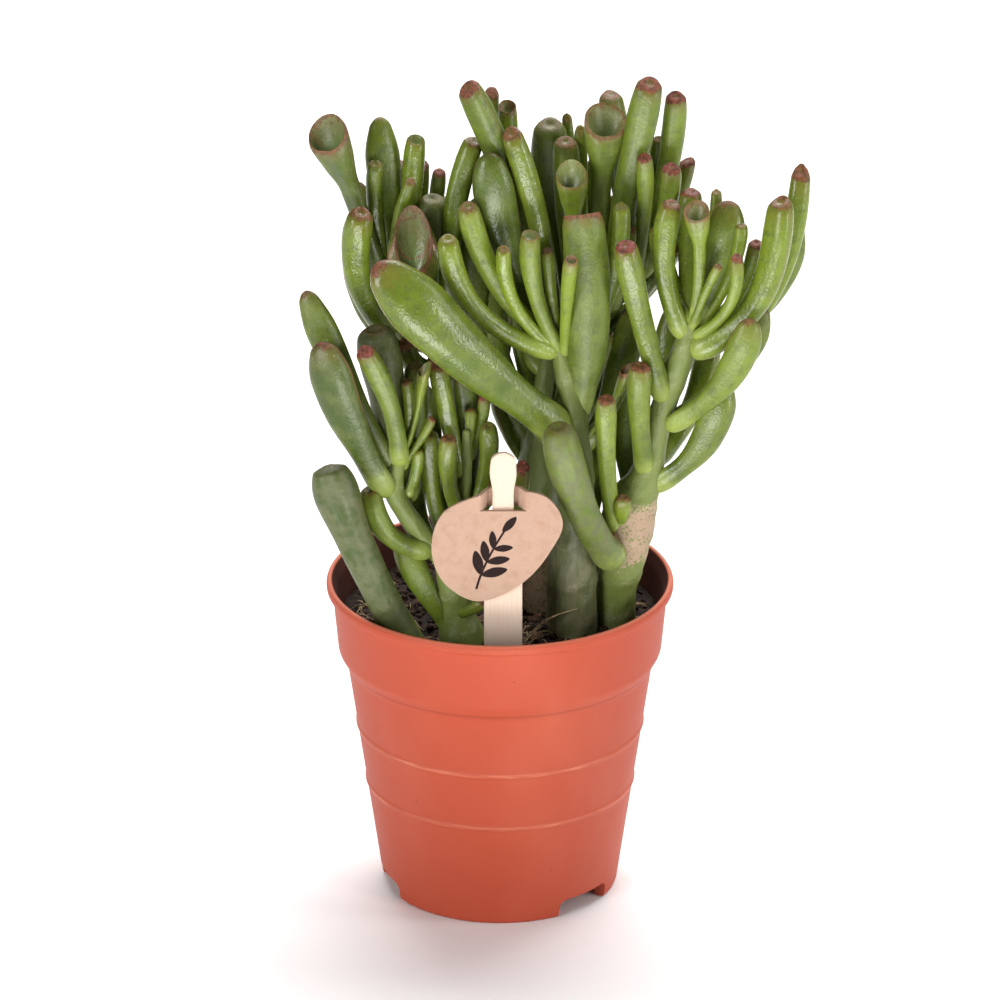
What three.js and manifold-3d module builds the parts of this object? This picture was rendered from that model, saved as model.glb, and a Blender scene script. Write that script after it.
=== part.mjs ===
// A jade with finger-like leaves in a nursery pot: pot, soil, four rooted plants, one rooted leaf and a tag.
// Millimetres, +Z up. The origin is on the pot's axis, at the level that it stands on. The front is -Y.
import * as THREE from "three";
import { mergeVertices } from "three/addons/utils/BufferGeometryUtils.js";
import Module from "manifold-3d";

const wasm = await Module();
wasm.setup();

// Clearance between pieces that touch.
const GAP = 0.3;

// The pot: a thin moulded shell with a thin lip, a flared band, a shoulder and a tapering body.
const POT = {
  height: 85,
  wall: 1.2,
  lipRadius: 44.9,
  lipHeight: 2.8,
  lipFillet: 0.8,
  lipCrown: 0.5,
  lipWidth: 1.5,
  bandTopRadius: 43.4,
  bandFootRadius: 41.9,
  bandFoot: 66,
  shoulderRadius: 39.6,
  shoulder: 62,
  baseRadius: 30.6,
  skirtWidth: 2.6,
  skirtDraft: 0.6,
  floor: 5.3,
  floorCorner: 1,
  padRadius: 11,
  padSlope: 1.5,
  padWall: 1.4,
  rings: [29.2, 45.2],
  ringHeight: 1,
  ringDepth: 0.35,
  segments: 32,
};

// Three arched notches in the foot, by their compass angle from the front towards +X, with a drain behind
// each.
const NOTCH = {
  angles: [46, 166, -74],
  width: 16.5,
  height: 4.8,
  corner: 2.4,
  inner: 22.6,
  depth: 12,
};
const DRAIN = { radius: 2.6, distance: 20.5, depth: 6, sides: 12 };

// The soil, with gentle lumps on its top, and the room round a trunk in its hole.
const SOIL = { top: 75, edge: 74.2, segments: 24, rings: [8, 17, 26, 34], lump: 0.7, corner: 1.6 };
const HOLE = { room: 0.5, sides: 14 };

// The wooden stake, as half-widths at heights, and the card threaded on it.
const STAKE = {
  x: 0.8,
  y: -30,
  thickness: 1.6,
  outline: [
    [30, 0.8],
    [42, 4.9],
    [97, 4.9],
    [112, 2.9],
    [121, 2.7],
    [127, 3.4],
    [130.6, 3.0],
    [132.3, 1.3],
  ],
};
const CARD = {
  thickness: 1,
  slit: 117,
  slitHalf: 6,
  bowHalf: 3.3,
  bowSteps: 24,
  edgeSteps: 36,
  outline: [
    [-17.4, 106.5],
    [-14.2, 116.6],
    [-7, 120.6],
    [2, 122.4],
    [12, 120.6],
    [15.9, 114],
    [12.6, 105.6],
    [3.8, 95.8],
    [-6.3, 92.2],
    [-14.2, 97.2],
  ],
};

// Leaf kinds. Each row of stations is: share of the length, share of the half-width.
// thick is the thickness over the width, cup lifts the long edges, slant cuts the mouth obliquely,
// and dish is how far the middle of the mouth is sunk, as a share of the length.
const KINDS = {
  club: {
    thick: 0.86,
    cup: 0.03,
    slant: 0.03,
    stations: [
      [0, 0.76],
      [0.4, 0.82],
      [0.86, 1],
      [0.97, 0.78],
    ],
  },
  bulb: {
    thick: 0.86,
    cup: 0,
    slant: 0,
    stations: [
      [0, 0.72],
      [0.42, 0.76],
      [0.58, 0.8],
      [0.8, 1],
      [0.96, 0.74],
    ],
  },
  paddle: {
    thick: 0.64,
    cup: 0.04,
    slant: 0,
    stations: [
      [0, 0.54],
      [0.3, 0.62],
      [0.56, 0.87],
      [0.78, 1],
      [0.95, 0.64],
    ],
  },
  trumpet: {
    thick: 0.72,
    cup: 0.1,
    slant: 0.12,
    dish: 0.1,
    stations: [
      [0, 0.44],
      [0.66, 0.48],
      [0.87, 0.86],
      [1, 1],
    ],
  },
  spoon: {
    thick: 0.62,
    cup: 0.2,
    slant: 0.4,
    dish: 0.14,
    stations: [
      [0, 0.42],
      [0.3, 0.6],
      [0.6, 0.9],
      [0.85, 1],
      [1, 0.72],
    ],
  },
  lobed: {
    thick: 0.5,
    cup: 0.1,
    slant: 0.02,
    dish: 0.04,
    stations: [
      [0, 0.5],
      [0.35, 0.84],
      [0.65, 1],
      [0.95, 0.94],
      [1, 0.84],
    ],
  },
  stub: {
    thick: 0.86,
    cup: 0,
    slant: 0.04,
    dish: 0.04,
    stations: [
      [0, 0.62],
      [0.4, 0.76],
      [0.9, 1],
      [1, 0.84],
    ],
  },
};

// Share of the mouth's width at which the rim turns down into the dish, how deep the dish is there as a
// share of its depth, and the share of a leaf's length at which its slanted cut begins to show.
const RIM_SHARE = 0.72;
const RIM_DEPTH = 0.4;
const SLANT_FROM = 0.4;

// Sides of a leaf's section, by its width, and of a stem's, by the radius at its foot.
const LEAF_SIDES = { slim: 5, plain: 6, wide: 8, slimUnder: 4.5, wideFrom: 11 };
const STEM_SIDES = { slim: 6, thick: 9, thickOver: 4 };

// Each plant: stems as rows of points with a radius, and leaves as rows of
// kind, width, compass angle its upper face looks to, root, middle and tip of its mid-line.
const PLANT_LEFT = {
  stems: [
    [
      [-10, -19, 57, 5],
      [-10, -19, 77, 5.8],
      [-11, -19, 83, 4.6],
      [-12, -19, 91, 4.2],
      [-14, -19, 98, 3.2],
      [-18, -19, 103, 2.6],
      [-24, -19, 111, 2.5],
      [-27, -19, 117, 2.6],
      [-25.5, -18.5, 126, 1.5],
    ],
    [
      [-12, -18, 90, 2.4],
      [-10, -14, 104, 1.8],
      [-9, -13, 119, 1.8],
      [-8.5, -12.5, 131, 1],
    ],
  ],
  leaves: [
    ["paddle", 11.8, -15, [-28, -20, 116], [-38, -23, 137], [-45, -24, 160]],
    ["paddle", 8.6, 0, [-27, -17.5, 122], [-39, -16.5, 146], [-49.2, -15.5, 170.5]],
    ["club", 6, 0, [-25.5, -19, 124], [-28, -21.5, 142], [-34.8, -23, 158]],
    ["club", 6.8, -20, [-17, -20, 101], [-28.6, -22, 106.5], [-33.2, -20.5, 119]],
    ["paddle", 7.8, 0, [-12, -20, 78], [-19, -20.5, 90], [-26, -16.5, 104]],
    ["club", 3.4, 0, [-12, -21, 83], [-8, -24, 86], [-4, -26, 89]],
    ["club", 2.8, 90, [-25, -18, 124], [-20, -18, 131], [-17, -18, 137]],
    ["club", 3.6, 0, [-24, -18, 115], [-21.5, -17, 121], [-21, -17, 128]],
    ["club", 3.4, 0, [-25, -17, 122], [-23, -15, 134], [-24, -14, 146]],
    ["club", 7, 0, [-24, -15, 112], [-22, -10, 129], [-21.5, -8, 148]],
    ["club", 11.4, 0, [-26.5, -16, 121], [-29, -11, 141], [-32, -9, 158]],
    ["club", 5.4, 0, [-10, -13, 118], [-13, -12, 133], [-16, -12, 150]],
    ["club", 5, 0, [-10, -14, 108], [-13, -17, 119], [-13, -17.5, 132]],
    ["club", 5.6, 0, [-13, -15.5, 99], [-17, -13, 114], [-18, -12, 131]],
    ["club", 5.6, 0, [-14, -15, 97], [-21, -9, 107], [-21, -6, 126]],
    ["club", 5.2, 0, [-9.5, -13, 105], [-4, -12, 117], [-3, -12, 133]],
    ["club", 3.2, 0, [-8.6, -12.5, 124], [-7.6, -11, 131], [-7.5, -10, 136]],
    ["club", 3.4, 0, [-8.6, -12, 122], [-5, -9, 131], [-4, -8, 139]],
    ["club", 4.6, 0, [-9.5, -14, 103], [2, -15, 109], [5.7, -16, 124]],
    ["club", 6.6, 10, [-9.5, -12, 106], [-8, -6.5, 124], [-10, -5, 145]],
    ["paddle", 7.4, -10, [-10.5, -12, 104], [-17, -7, 122], [-19.5, -5, 141]],
    ["club", 6, 20, [-13, -16, 96], [-24, -9, 106], [-29, -6, 124]],
  ],
};

const PLANT_MIDDLE = {
  stems: [
    [
      [18.5, -12, 57, 5.8],
      [18.5, -12, 77, 6.4],
      [18.5, -12, 92, 6.3],
      [19, -12, 105, 5.4],
      [19.5, -12, 120, 4.4],
      [19.4, -12, 129, 3.4],
      [18.6, -11, 139, 3.3],
      [16.3, -9, 148, 2.8],
      [15, -8, 154, 1.7],
    ],
  ],
  leaves: [
    ["paddle", 16.2, 25, [18, -13, 130], [-6, -22, 153.5], [-31.3, -25, 181.5]],
    ["club", 6.4, 0, [15, -9, 151], [-5.7, -13, 164], [-13.2, -14, 185]],
    ["club", 6.4, 0, [14.5, -8, 152], [-1, -8, 170], [-8.2, -8, 191.5]],
    ["club", 4.2, 0, [14.5, -9, 151], [3.5, -12, 166], [1, -14, 182]],
    ["stub", 5.6, 0, [15.5, -9, 151], [9, -11, 168], [7.7, -12, 185]],
    ["club", 3.6, 0, [15, -7.5, 151], [13, -6, 166], [12, -5, 178]],
    ["lobed", 11.8, 180, [19.5, -12, 134], [22.4, -11.5, 160], [20.6, -10, 190]],
    ["stub", 4, 0, [16.5, -9.5, 150], [16.8, -14.5, 166], [18, -19, 181]],
    ["club", 5.2, 0, [18.5, -9, 146], [28, -6.5, 168], [30.6, -4, 190]],
    ["club", 3, 0, [17, -8, 149], [29, -3, 166], [33.4, 0, 182]],
    ["paddle", 8.6, 0, [20, -10, 124], [29, -1, 137], [33.5, 4, 158]],
    ["club", 7, 0, [20, -8, 112], [25.5, 3, 126], [27, 9, 146]],
    ["club", 6, 0, [21, -10, 100], [25, -4, 114], [27, -1, 132]],
  ],
};

const PLANT_RIGHT = {
  stems: [
    [
      [29.6, -7.2, 57, 4.9],
      [29.6, -7.2, 77, 5.2],
      [30.2, -8, 86, 5.2],
      [31.5, -9, 94, 5.8],
      [32.4, -9, 102, 7],
      [33.8, -9, 109, 6.5],
      [37, -9, 116, 4.6],
      [39, -9, 124, 3.4],
      [41.3, -9, 135, 3.2],
      [47.2, -9, 153, 3],
      [49, -9, 160, 1.8],
    ],
  ],
  leaves: [
    ["club", 6.6, 0, [47.2, -9, 155], [41.6, -9, 174], [43.8, -8, 192]],
    ["club", 6.6, 0, [48, -8, 156], [48, -2, 174], [48.4, 2, 191.5]],
    ["trumpet", 6.8, 0, [49, -10, 158], [50.4, -11.5, 176], [49.2, -12, 193]],
    ["club", 3.2, 0, [49, -8, 158], [53.5, -3, 175], [54.8, 0, 192]],
    ["paddle", 10, 0, [49, -9, 157], [55.5, -6, 174], [57.6, -4, 190.5]],
    ["club", 3.6, 0, [49.5, -9, 156], [58.4, -8, 172], [61, -7, 185.5]],
    ["club", 3.6, 0, [49, -10.5, 156], [58, -14, 166], [59.6, -14, 180]],
    ["club", 2.6, 0, [48.5, -10.5, 158], [52, -13, 169], [55.4, -14, 177]],
    ["club", 5, 0, [49, -8, 155], [61, -4, 165], [65, -2, 179]],
    ["club", 8.4, -40, [48, -10, 152], [65, -11, 166], [70.8, -9, 193.5]],
    ["club", 6, 0, [48, -8, 152], [68, -3, 163], [76.8, 2, 198]],
    ["paddle", 10.4, 0, [48, -7, 151], [66.8, 3, 161], [74.6, 8, 182]],
    ["paddle", 9, 0, [42, -11, 131], [57, -16, 146], [63.2, -18, 164]],
    ["paddle", 7.6, 0, [42, -8, 131], [59, -7, 145], [66.8, -6, 162.5]],
    ["paddle", 9.6, 0, [38, -10, 114], [51.6, -12, 127], [56.4, -12, 145]],
    ["club", 7, 0, [42, -10, 138], [35.8, -14, 162], [31.4, -16, 184]],
    ["club", 6.4, 0, [37.5, -10, 118], [35.5, -15.5, 135], [35.6, -17, 151.5]],
    ["club", 5.6, 0, [29.5, -13, 103], [27.2, -18, 124], [27, -19, 143.5]],
    ["club", 10.2, 0, [30, -13.5, 95], [20.9, -24.2, 114], [14.4, -25.4, 138.5]],
    ["club", 5, 0, [31, -13, 105], [31, -16, 110], [31.5, -17.5, 115]],
    ["club", 3.8, 0, [29, -12, 97], [28.6, -14.5, 100], [28.4, -16, 104]],
    ["paddle", 8.4, 0, [40, -8, 126], [43, 1, 140], [44, 5, 158]],
    ["club", 7, 0, [39, -7, 120], [49, 0, 132], [54, 4, 150]],
    ["paddle", 9, 0, [35, -5, 108], [32.8, 3, 121], [35.4, 8, 142]],
  ],
};

const PLANT_BACK = {
  stems: [
    [
      [9, 5, 57, 5.2],
      [9, 5, 77, 5.8],
      [9.5, 5, 100, 5.4],
      [10, 5, 118, 5],
      [10, 5, 128, 3.4],
    ],
    [
      [10, 5, 120, 3],
      [0, 5, 136, 2.6],
      [-13, 4, 146, 2.4],
      [-24, 3, 151, 2.2],
      [-28.5, 2.5, 157, 1.2],
    ],
    [
      [10, 5, 122, 3.2],
      [12, 7, 138, 2.8],
      [13.5, 7, 150, 2.3],
      [13.5, 7, 157, 1.2],
    ],
    [
      [10.5, 6, 122, 3],
      [18, 9, 141, 2.6],
      [26, 11, 152, 2.4],
      [32, 12, 161, 2.1],
      [37, 12, 167, 1.2],
    ],
  ],
  leaves: [
    ["trumpet", 13, -40, [-27.5, 3, 154], [-35.6, 2, 185], [-44.6, -2, 210.5]],
    ["club", 7.8, 0, [-27, 2, 152], [-35.8, -3, 168], [-34.8, -6, 189]],
    ["paddle", 9.4, 20, [-25, 4, 152], [-28.5, 8, 182], [-30.6, 11, 207.5]],
    ["club", 4.6, 0, [-26.5, 2, 154], [-31, 5, 177], [-31.6, 4.6, 198]],
    ["stub", 5.8, 0, [-24, 5, 152], [-23, 7, 180], [-21.2, 8, 203.5]],
    ["club", 3.2, 0, [-26, 2.5, 154], [-27, 0.5, 176], [-22.2, 0, 195]],
    ["club", 4, 0, [-21, 5, 150], [-17.5, 10, 174], [-15.4, 12, 193]],
    ["spoon", 14, 5, [-18, 2, 148], [-21.4, -3, 168], [-22, -6, 189.5]],
    ["club", 9.4, 0, [-16, 5, 148], [-16.5, 6, 169], [-17.4, 6, 188]],
    ["club", 6.2, 0, [-12, 5, 145], [-12.5, 3, 178], [-6.2, 5, 204]],
    ["club", 5.4, 0, [-11, 6, 145], [-13, 9, 164], [-13.7, 10, 180]],
    ["club", 8.2, -40, [11, 6, 143], [3, 4, 188], [-8.6, 1, 219.9]],
    ["stub", 5.4, 0, [12, 8, 146], [4, 10, 182], [1.9, 10, 212]],
    ["club", 4.6, 0, [13, 9, 145], [0.5, 14, 181], [-2, 15, 214]],
    ["paddle", 11.2, 0, [12, 5.5, 144], [1.5, -1, 177], [-2.6, -3, 203]],
    ["club", 6.4, 0, [14, 6, 149], [11, 0.5, 177], [2.4, -1, 209]],
    ["trumpet", 8.6, 0, [20, 9, 142], [19, 5, 175], [18, -2, 199]],
    ["club", 7.4, 0, [21, 10, 145], [18, 12, 175], [16.6, 12, 201.5]],
    ["club", 9.8, 0, [18, 11, 140], [13.6, 18, 171], [12.8, 20, 203.5]],
    ["club", 3.2, 0, [19, 12, 143], [19, 22, 171], [17, 26, 203]],
    ["club", 3.6, 0, [22, 11, 147], [21, 15, 175], [20.4, 14, 204]],
    ["trumpet", 11.6, 20, [25, 10, 150], [25.4, 8, 184], [26.8, 5, 212]],
    ["club", 8.2, 0, [28, 11, 154], [32, 7, 187], [38.2, 4, 220.5]],
    ["club", 6.4, 0, [33, 12.5, 161], [41.6, 12, 188], [44.6, 10, 214.5]],
    ["club", 5.8, 0, [36, 11, 164], [41.4, 5.5, 181], [43.4, 2, 198]],
    ["club", 3.6, 0, [33, 13, 163], [38, 15, 184], [40.4, 14, 201]],
    ["club", 4.6, 0, [34, 10, 162], [36.6, 3, 184], [36.4, 0, 201.5]],
    ["paddle", 10, 10, [-25, 4, 147], [-33, 7, 157], [-36, 9, 176]],
    ["paddle", 9.4, 0, [-6, 5, 141], [-6, 9, 164], [-5, 11, 186]],
    ["club", 8, 0, [3, 5, 134], [-2, 10, 156], [4, 13, 178]],
    ["paddle", 9, 0, [17, 9, 139], [27, 14, 158], [29, 17, 184]],
    ["club", 7, 0, [30, 13, 158], [36, 19, 172], [36, 22, 193]],
    ["club", 6.4, 0, [1, 5, 135], [-9, 1, 137], [-17, -1, 148]],
    ["club", 6, 0, [-10, 4, 144], [-20, 1, 143], [-25, -1, 151]],
  ],
};

const LEAF_ROOTED = {
  stems: [],
  leaves: [["bulb", 12.4, -8, [-20.8, -19.5, 68], [-35.6, -25.6, 103], [-43.6, -26.4, 127.4]]],
};
const LEAF_HOLE = { place: [-22.5, -20.3, 65.7], radius: 6.6 };

// Leaves that the front hides, set in opposite pairs up a stem, each pair a quarter turn from the one below.
// Each row: stem, shares of the stem from and to, pairs, first compass angle, leaf length and width, and how
// far from the back the leaves may point.
const PAIRS = {
  plant_left: [[0, 0.55, 0.98, 6, 200, 25, 5.6, 90]],
  plant_middle: [[0, 0.4, 0.8, 5, 195, 25, 5.6, 80]],
  plant_right: [[0, 0.5, 0.98, 8, 175, 32, 6, 100]],
  plant_back: [
    [0, 0.5, 0.95, 4, 180, 30, 6.6, 100],
    [1, 0.25, 0.98, 7, 175, 38, 6.4, 90],
    [2, 0.2, 0.95, 6, 150, 46, 6.4, 100],
    [3, 0.25, 0.98, 7, 170, 42, 6.2, 90],
  ],
};

// How hidden leaves vary: degrees of scatter, lengths and widths as shares, the rise in degrees from the
// first pair to the last, and where their middle lies as shares of their reach and of their height.
const HIDDEN = {
  kinds: ["club", "trumpet", "club", "paddle", "stub"],
  scatter: 18,
  length: [0.8, 1.15],
  width: [0.75, 1.25],
  rise: [38, 72],
  riseScatter: 8,
  middle: [0.6, 0.42],
  seed: 4127,
};

// A hidden leaf that would meet another turns by these angles in turn, and is left out if none is free.
const TURNS = [0, 18, -18, 36, -36, 54, -54, 72, -72];

// Balls that stand for leaves and stems in that test: their number, their radius as a share of a leaf's
// width or of a stem's foot, and the share of a leaf from which it stands for others and is tested itself.
const BALLS = { leaf: 10, leafSize: 0.36, stem: 30, stemSize: 0.5, standsFrom: 0.2, testedFrom: 0.5 };

const rad = THREE.MathUtils.degToRad;
const lerp = THREE.MathUtils.lerp;
const vec = (p) => new THREE.Vector3(p[0], p[1], p[2]);

// A unit vector on the ground at a compass angle from the front (-Y) towards +X.
const heading = (angle) => new THREE.Vector3(Math.sin(rad(angle)), -Math.cos(rad(angle)), 0);

// A closed geometry through rings of points that turn alike, with a fan to one point at each end.
function skin(rings, first, last) {
  const sides = rings[0].length;
  const points = [first, ...rings.flat(), last];
  const end = points.length - 1;
  const at = (ring, side) => 1 + ring * sides + (side % sides);
  const faces = [];
  for (let s = 0; s < sides; s++) {
    faces.push(0, at(0, s + 1), at(0, s));
    for (let r = 0; r + 1 < rings.length; r++) {
      faces.push(at(r, s), at(r, s + 1), at(r + 1, s + 1));
      faces.push(at(r, s), at(r + 1, s + 1), at(r + 1, s));
    }
    faces.push(end, at(rings.length - 1, s), at(rings.length - 1, s + 1));
  }
  const geometry = new THREE.BufferGeometry();
  const values = points.flatMap((p) => p.toArray());
  geometry.setAttribute("position", new THREE.Float32BufferAttribute(values, 3));
  geometry.setIndex(faces);
  return geometry;
}

// A solid for joining and cutting, from a closed geometry.
function solid(geometry) {
  const bare = geometry.clone();
  bare.deleteAttribute("normal");
  bare.deleteAttribute("uv");
  const merged = mergeVertices(bare, 1e-4);
  return new wasm.Manifold(
    new wasm.Mesh({
      numProp: 3,
      vertProperties: merged.attributes.position.array,
      triVerts: new Uint32Array(merged.index.array),
    }),
  );
}

// The geometry of a joined or cut solid.
function geometryOf(shape) {
  const { vertProperties, triVerts } = shape.getMesh();
  const geometry = new THREE.BufferGeometry();
  geometry.setAttribute("position", new THREE.Float32BufferAttribute(vertProperties, 3));
  geometry.setIndex([...triVerts]);
  geometry.computeVertexNormals();
  return geometry;
}

// The mid-line of a leaf: a parabola through its root, middle and tip.
function midline(root, middle, tip) {
  const ends = vec(root).add(vec(tip));
  const control = vec(middle).multiplyScalar(2).addScaledVector(ends, -0.5);
  return new THREE.QuadraticBezierCurve3(vec(root), control, vec(tip));
}

// One leaf as a closed geometry.
function leaf([kindName, width, face, root, middle, tip]) {
  const kind = KINDS[kindName];
  const curve = midline(root, middle, tip);
  const { slim, plain, wide, slimUnder, wideFrom } = LEAF_SIDES;
  const sides = width >= wideFrom ? wide : width < slimUnder ? slim : plain;
  const ring = ([share, half], spread = 1, sink = 0) =>
    Array.from({ length: sides }, (_, side) => {
      const turn = (2 * Math.PI * side) / sides;
      const slant = 0.5 * kind.slant * THREE.MathUtils.smoothstep(share, SLANT_FROM, 1);
      const along = share - slant * (1 + spread * Math.sin(turn)) - sink;
      const ahead = curve.getTangent(Math.min(Math.max(along, 0), 1));
      const up = heading(face).addScaledVector(ahead, -heading(face).dot(ahead)).normalize();
      const across = new THREE.Vector3().crossVectors(up, ahead);
      const reach = 0.5 * width * half * spread;
      return curve
        .getPoint(along)
        .addScaledVector(across, reach * Math.cos(turn))
        .addScaledVector(up, reach * (kind.thick * Math.sin(turn) + kind.cup * Math.cos(turn) ** 2));
    });
  const rings = kind.stations.map((station) => ring(station));
  const last = kind.stations.at(-1);
  if (!kind.dish) return skin(rings, curve.getPoint(0), curve.getPoint(1));
  rings.push(ring(last, RIM_SHARE, RIM_DEPTH * kind.dish));
  return skin(rings, curve.getPoint(0), curve.getPoint(1 - 0.5 * kind.slant - kind.dish));
}

// One stem as a closed geometry: round rings along a curve through its points.
function stem(rows) {
  const curve = new THREE.CatmullRomCurve3(rows.map(vec), false, "centripetal");
  const sides = rows[0][3] > STEM_SIDES.thickOver ? STEM_SIDES.thick : STEM_SIDES.slim;
  const rings = rows.map((row, i) => {
    const ahead = curve.getTangent(i / (rows.length - 1));
    const out = new THREE.Vector3(1, 0, 0).addScaledVector(ahead, -ahead.x).normalize();
    const side = new THREE.Vector3().crossVectors(ahead, out);
    return Array.from({ length: sides }, (_, k) => {
      const turn = (2 * Math.PI * k) / sides;
      return vec(row)
        .addScaledVector(out, row[3] * Math.cos(turn))
        .addScaledVector(side, row[3] * Math.sin(turn));
    });
  });
  return skin(rings, vec(rows[0]), vec(rows.at(-1)));
}

// Even draws between 0 and 1 from a seed, by the common minimal generator.
function draws(seed) {
  const modulus = 2147483647;
  const multiplier = 16807;
  let state = seed;
  return () => {
    state = (state * multiplier) % modulus;
    return state / modulus;
  };
}

// A place along a stem, by its share of the stem's rows.
function alongStem(rows, share) {
  const step = Math.min(Math.floor(share * (rows.length - 1)), rows.length - 2);
  return vec(rows[step]).lerp(vec(rows[step + 1]), share * (rows.length - 1) - step);
}

// Evenly spread shares from one value to another.
const spread = (from, to, count) => Array.from({ length: count }, (_, i) => lerp(from, to, i / (count - 1)));

// Balls that stand for a leaf from a share of its length on, and for a stem.
function leafBalls([, width, , root, middle, tip], from) {
  const curve = midline(root, middle, tip);
  return spread(from, 1, BALLS.leaf).map((share) => [curve.getPoint(share), BALLS.leafSize * width]);
}
const stemBalls = (rows) =>
  spread(0, 1, BALLS.stem).map((share) => [alongStem(rows, share), BALLS.stemSize * rows[0][3]]);

// True where none of some balls meets any of the others.
const apart = (some, others) => some.every(([p, a]) => others.every(([q, b]) => p.distanceTo(q) > a + b));

// A hidden leaf as a row like the others, from its root out to a compass angle.
function hiddenRow(kind, width, root, angle, reach, rise) {
  const [across, up] = HIDDEN.middle;
  const out = heading(angle).multiplyScalar(reach * Math.cos(rise));
  const height = reach * Math.sin(rise);
  const middle = root.clone().addScaledVector(out, across).setZ(root.z + up * height);
  const tip = root.clone().add(out).setZ(root.z + height);
  return [kind, width, angle + 180, root.toArray(), middle.toArray(), tip.toArray()];
}

// The hidden leaves of one plant. Each keeps clear of the balls of all that stands already, and adds its
// own.
function hiddenLeaves(name, stems, draw, balls) {
  const within = ([low, high]) => lerp(low, high, draw());
  const { kinds, scatter, length, width, rise, riseScatter } = HIDDEN;
  const rows = [];
  for (const [index, from, to, pairs, first, longest, widest, sector] of PAIRS[name]) {
    for (let count = 0; count < 2 * pairs; count++) {
      const pair = Math.floor(count / 2);
      const share = lerp(from, to, pair / (pairs - 1));
      const start = first + 90 * pair + 180 * (count % 2) + within([-scatter, scatter]);
      const reach = longest * within(length);
      const slope = rad(lerp(...rise, share) + within([-riseScatter, riseScatter]));
      const wide = widest * within(width);
      const kind = kinds[(count + pair + index) % kinds.length];
      const row = TURNS.map((turn) => start + turn)
        .filter((angle) => Math.cos(rad(angle - 180)) >= Math.cos(rad(sector)))
        .map((angle) => hiddenRow(kind, wide, alongStem(stems[index], share), angle, reach, slope))
        .find((candidate) => apart(leafBalls(candidate, BALLS.testedFrom), balls));
      if (!row) continue;
      rows.push(row);
      balls.push(...leafBalls(row, BALLS.standsFrom));
    }
  }
  return rows;
}

// All stems and leaves of one plant, joined, with any pocket sealed between them filled.
function plant(stems, leaves) {
  const shapes = [...stems.map(stem), ...leaves.map(leaf)].map(solid);
  const bodies = shapes.reduce((whole, shape) => whole.add(shape)).decompose();
  return bodies.reduce((largest, body) => (body.volume() > largest.volume() ? body : largest));
}

// Outer radius of the pot's body, band and shoulder at a height.
function potRadius(z) {
  if (z <= POT.shoulder) return lerp(POT.baseRadius, POT.shoulderRadius, z / POT.shoulder);
  if (z <= POT.bandFoot) {
    return lerp(POT.shoulderRadius, POT.bandFootRadius, (z - POT.shoulder) / (POT.bandFoot - POT.shoulder));
  }
  const bandTop = POT.height - POT.lipHeight;
  return lerp(POT.bandFootRadius, POT.bandTopRadius, (z - POT.bandFoot) / (bandTop - POT.bandFoot));
}

// The shell, turned about the axis, less the notches in its foot and the drain holes.
function pot() {
  const { height, wall, lipRadius, lipFillet, lipCrown, lipWidth } = POT;
  const { floor, floorCorner, padRadius, padSlope } = POT;
  const lipFoot = height - POT.lipHeight;
  const inside = lipRadius - lipWidth;
  const skirt = POT.baseRadius - POT.skirtWidth;
  const floorTop = floor + wall;
  const rings = POT.rings.flatMap((z) => [
    [potRadius(z - POT.ringHeight), z - POT.ringHeight],
    [potRadius(z) + POT.ringDepth, z - POT.ringHeight / 3],
    [potRadius(z) + POT.ringDepth, z + POT.ringHeight / 3],
    [potRadius(z + POT.ringHeight), z + POT.ringHeight],
  ]);
  const profile = [
    [0, 0],
    [padRadius, 0],
    [padRadius + padSlope, floor],
    [skirt - POT.skirtDraft, floor],
    [skirt, 0],
    [POT.baseRadius, 0],
    ...rings,
    [POT.shoulderRadius, POT.shoulder],
    [POT.bandFootRadius, POT.bandFoot],
    [POT.bandTopRadius, lipFoot],
    [lipRadius - lipFillet / 4, lipFoot + lipFillet / 3],
    [lipRadius, lipFoot + lipFillet],
    [lipRadius, height - lipFillet],
    [lipRadius - lipCrown, height],
    [inside + lipCrown / 2, height],
    [inside, height - lipCrown],
    [potRadius(lipFoot) - wall, lipFoot - lipFillet],
    [POT.bandFootRadius - wall, POT.bandFoot + wall / 3],
    [POT.shoulderRadius - wall, POT.shoulder + wall / 3],
    [potRadius(floorTop + floorCorner) - wall, floorTop + floorCorner],
    [potRadius(floorTop) - wall - floorCorner, floorTop],
    [padRadius + padSlope - GAP, floorTop],
    [padRadius - POT.padWall, wall],
    [0, wall],
  ];
  const lathe = new THREE.LatheGeometry(profile.map(([r, z]) => new THREE.Vector2(r, z)), POT.segments);
  let shell = solid(lathe.rotateX(Math.PI / 2));
  for (const angle of NOTCH.angles) shell = shell.subtract(notch(angle)).subtract(drain(angle));
  return shell;
}

// An arch with rounded corners, pushed outwards through the foot.
function notch(angle) {
  const { width, height, corner, inner, depth } = NOTCH;
  const half = width / 2;
  const below = -corner;
  const arch = new THREE.Shape();
  arch.moveTo(-half, below);
  arch.lineTo(half, below);
  arch.absarc(half - corner, height - corner, corner, 0, Math.PI / 2);
  arch.absarc(corner - half, height - corner, corner, Math.PI / 2, Math.PI);
  arch.lineTo(-half, below);
  const cutter = new THREE.ExtrudeGeometry(arch, { depth, bevelEnabled: false, curveSegments: 4 });
  cutter.rotateX(Math.PI / 2);
  cutter.translate(0, -inner, 0);
  return solid(cutter.rotateZ(rad(angle)));
}

// A round hole through the floor.
function drain(angle) {
  const { x, y } = heading(angle).multiplyScalar(DRAIN.distance);
  const hole = new THREE.CylinderGeometry(DRAIN.radius, DRAIN.radius, DRAIN.depth, DRAIN.sides);
  return solid(hole.rotateX(Math.PI / 2).translate(x, y, POT.floor));
}

// The soil's height at a place on its top: broad swells with a finer ripple of half their height.
const soilHeight = (x, y) =>
  SOIL.top + SOIL.lump * (Math.sin(0.31 * x + 1) * Math.cos(0.27 * y) + 0.5 * Math.sin(0.9 * x + 0.7 * y));

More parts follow.
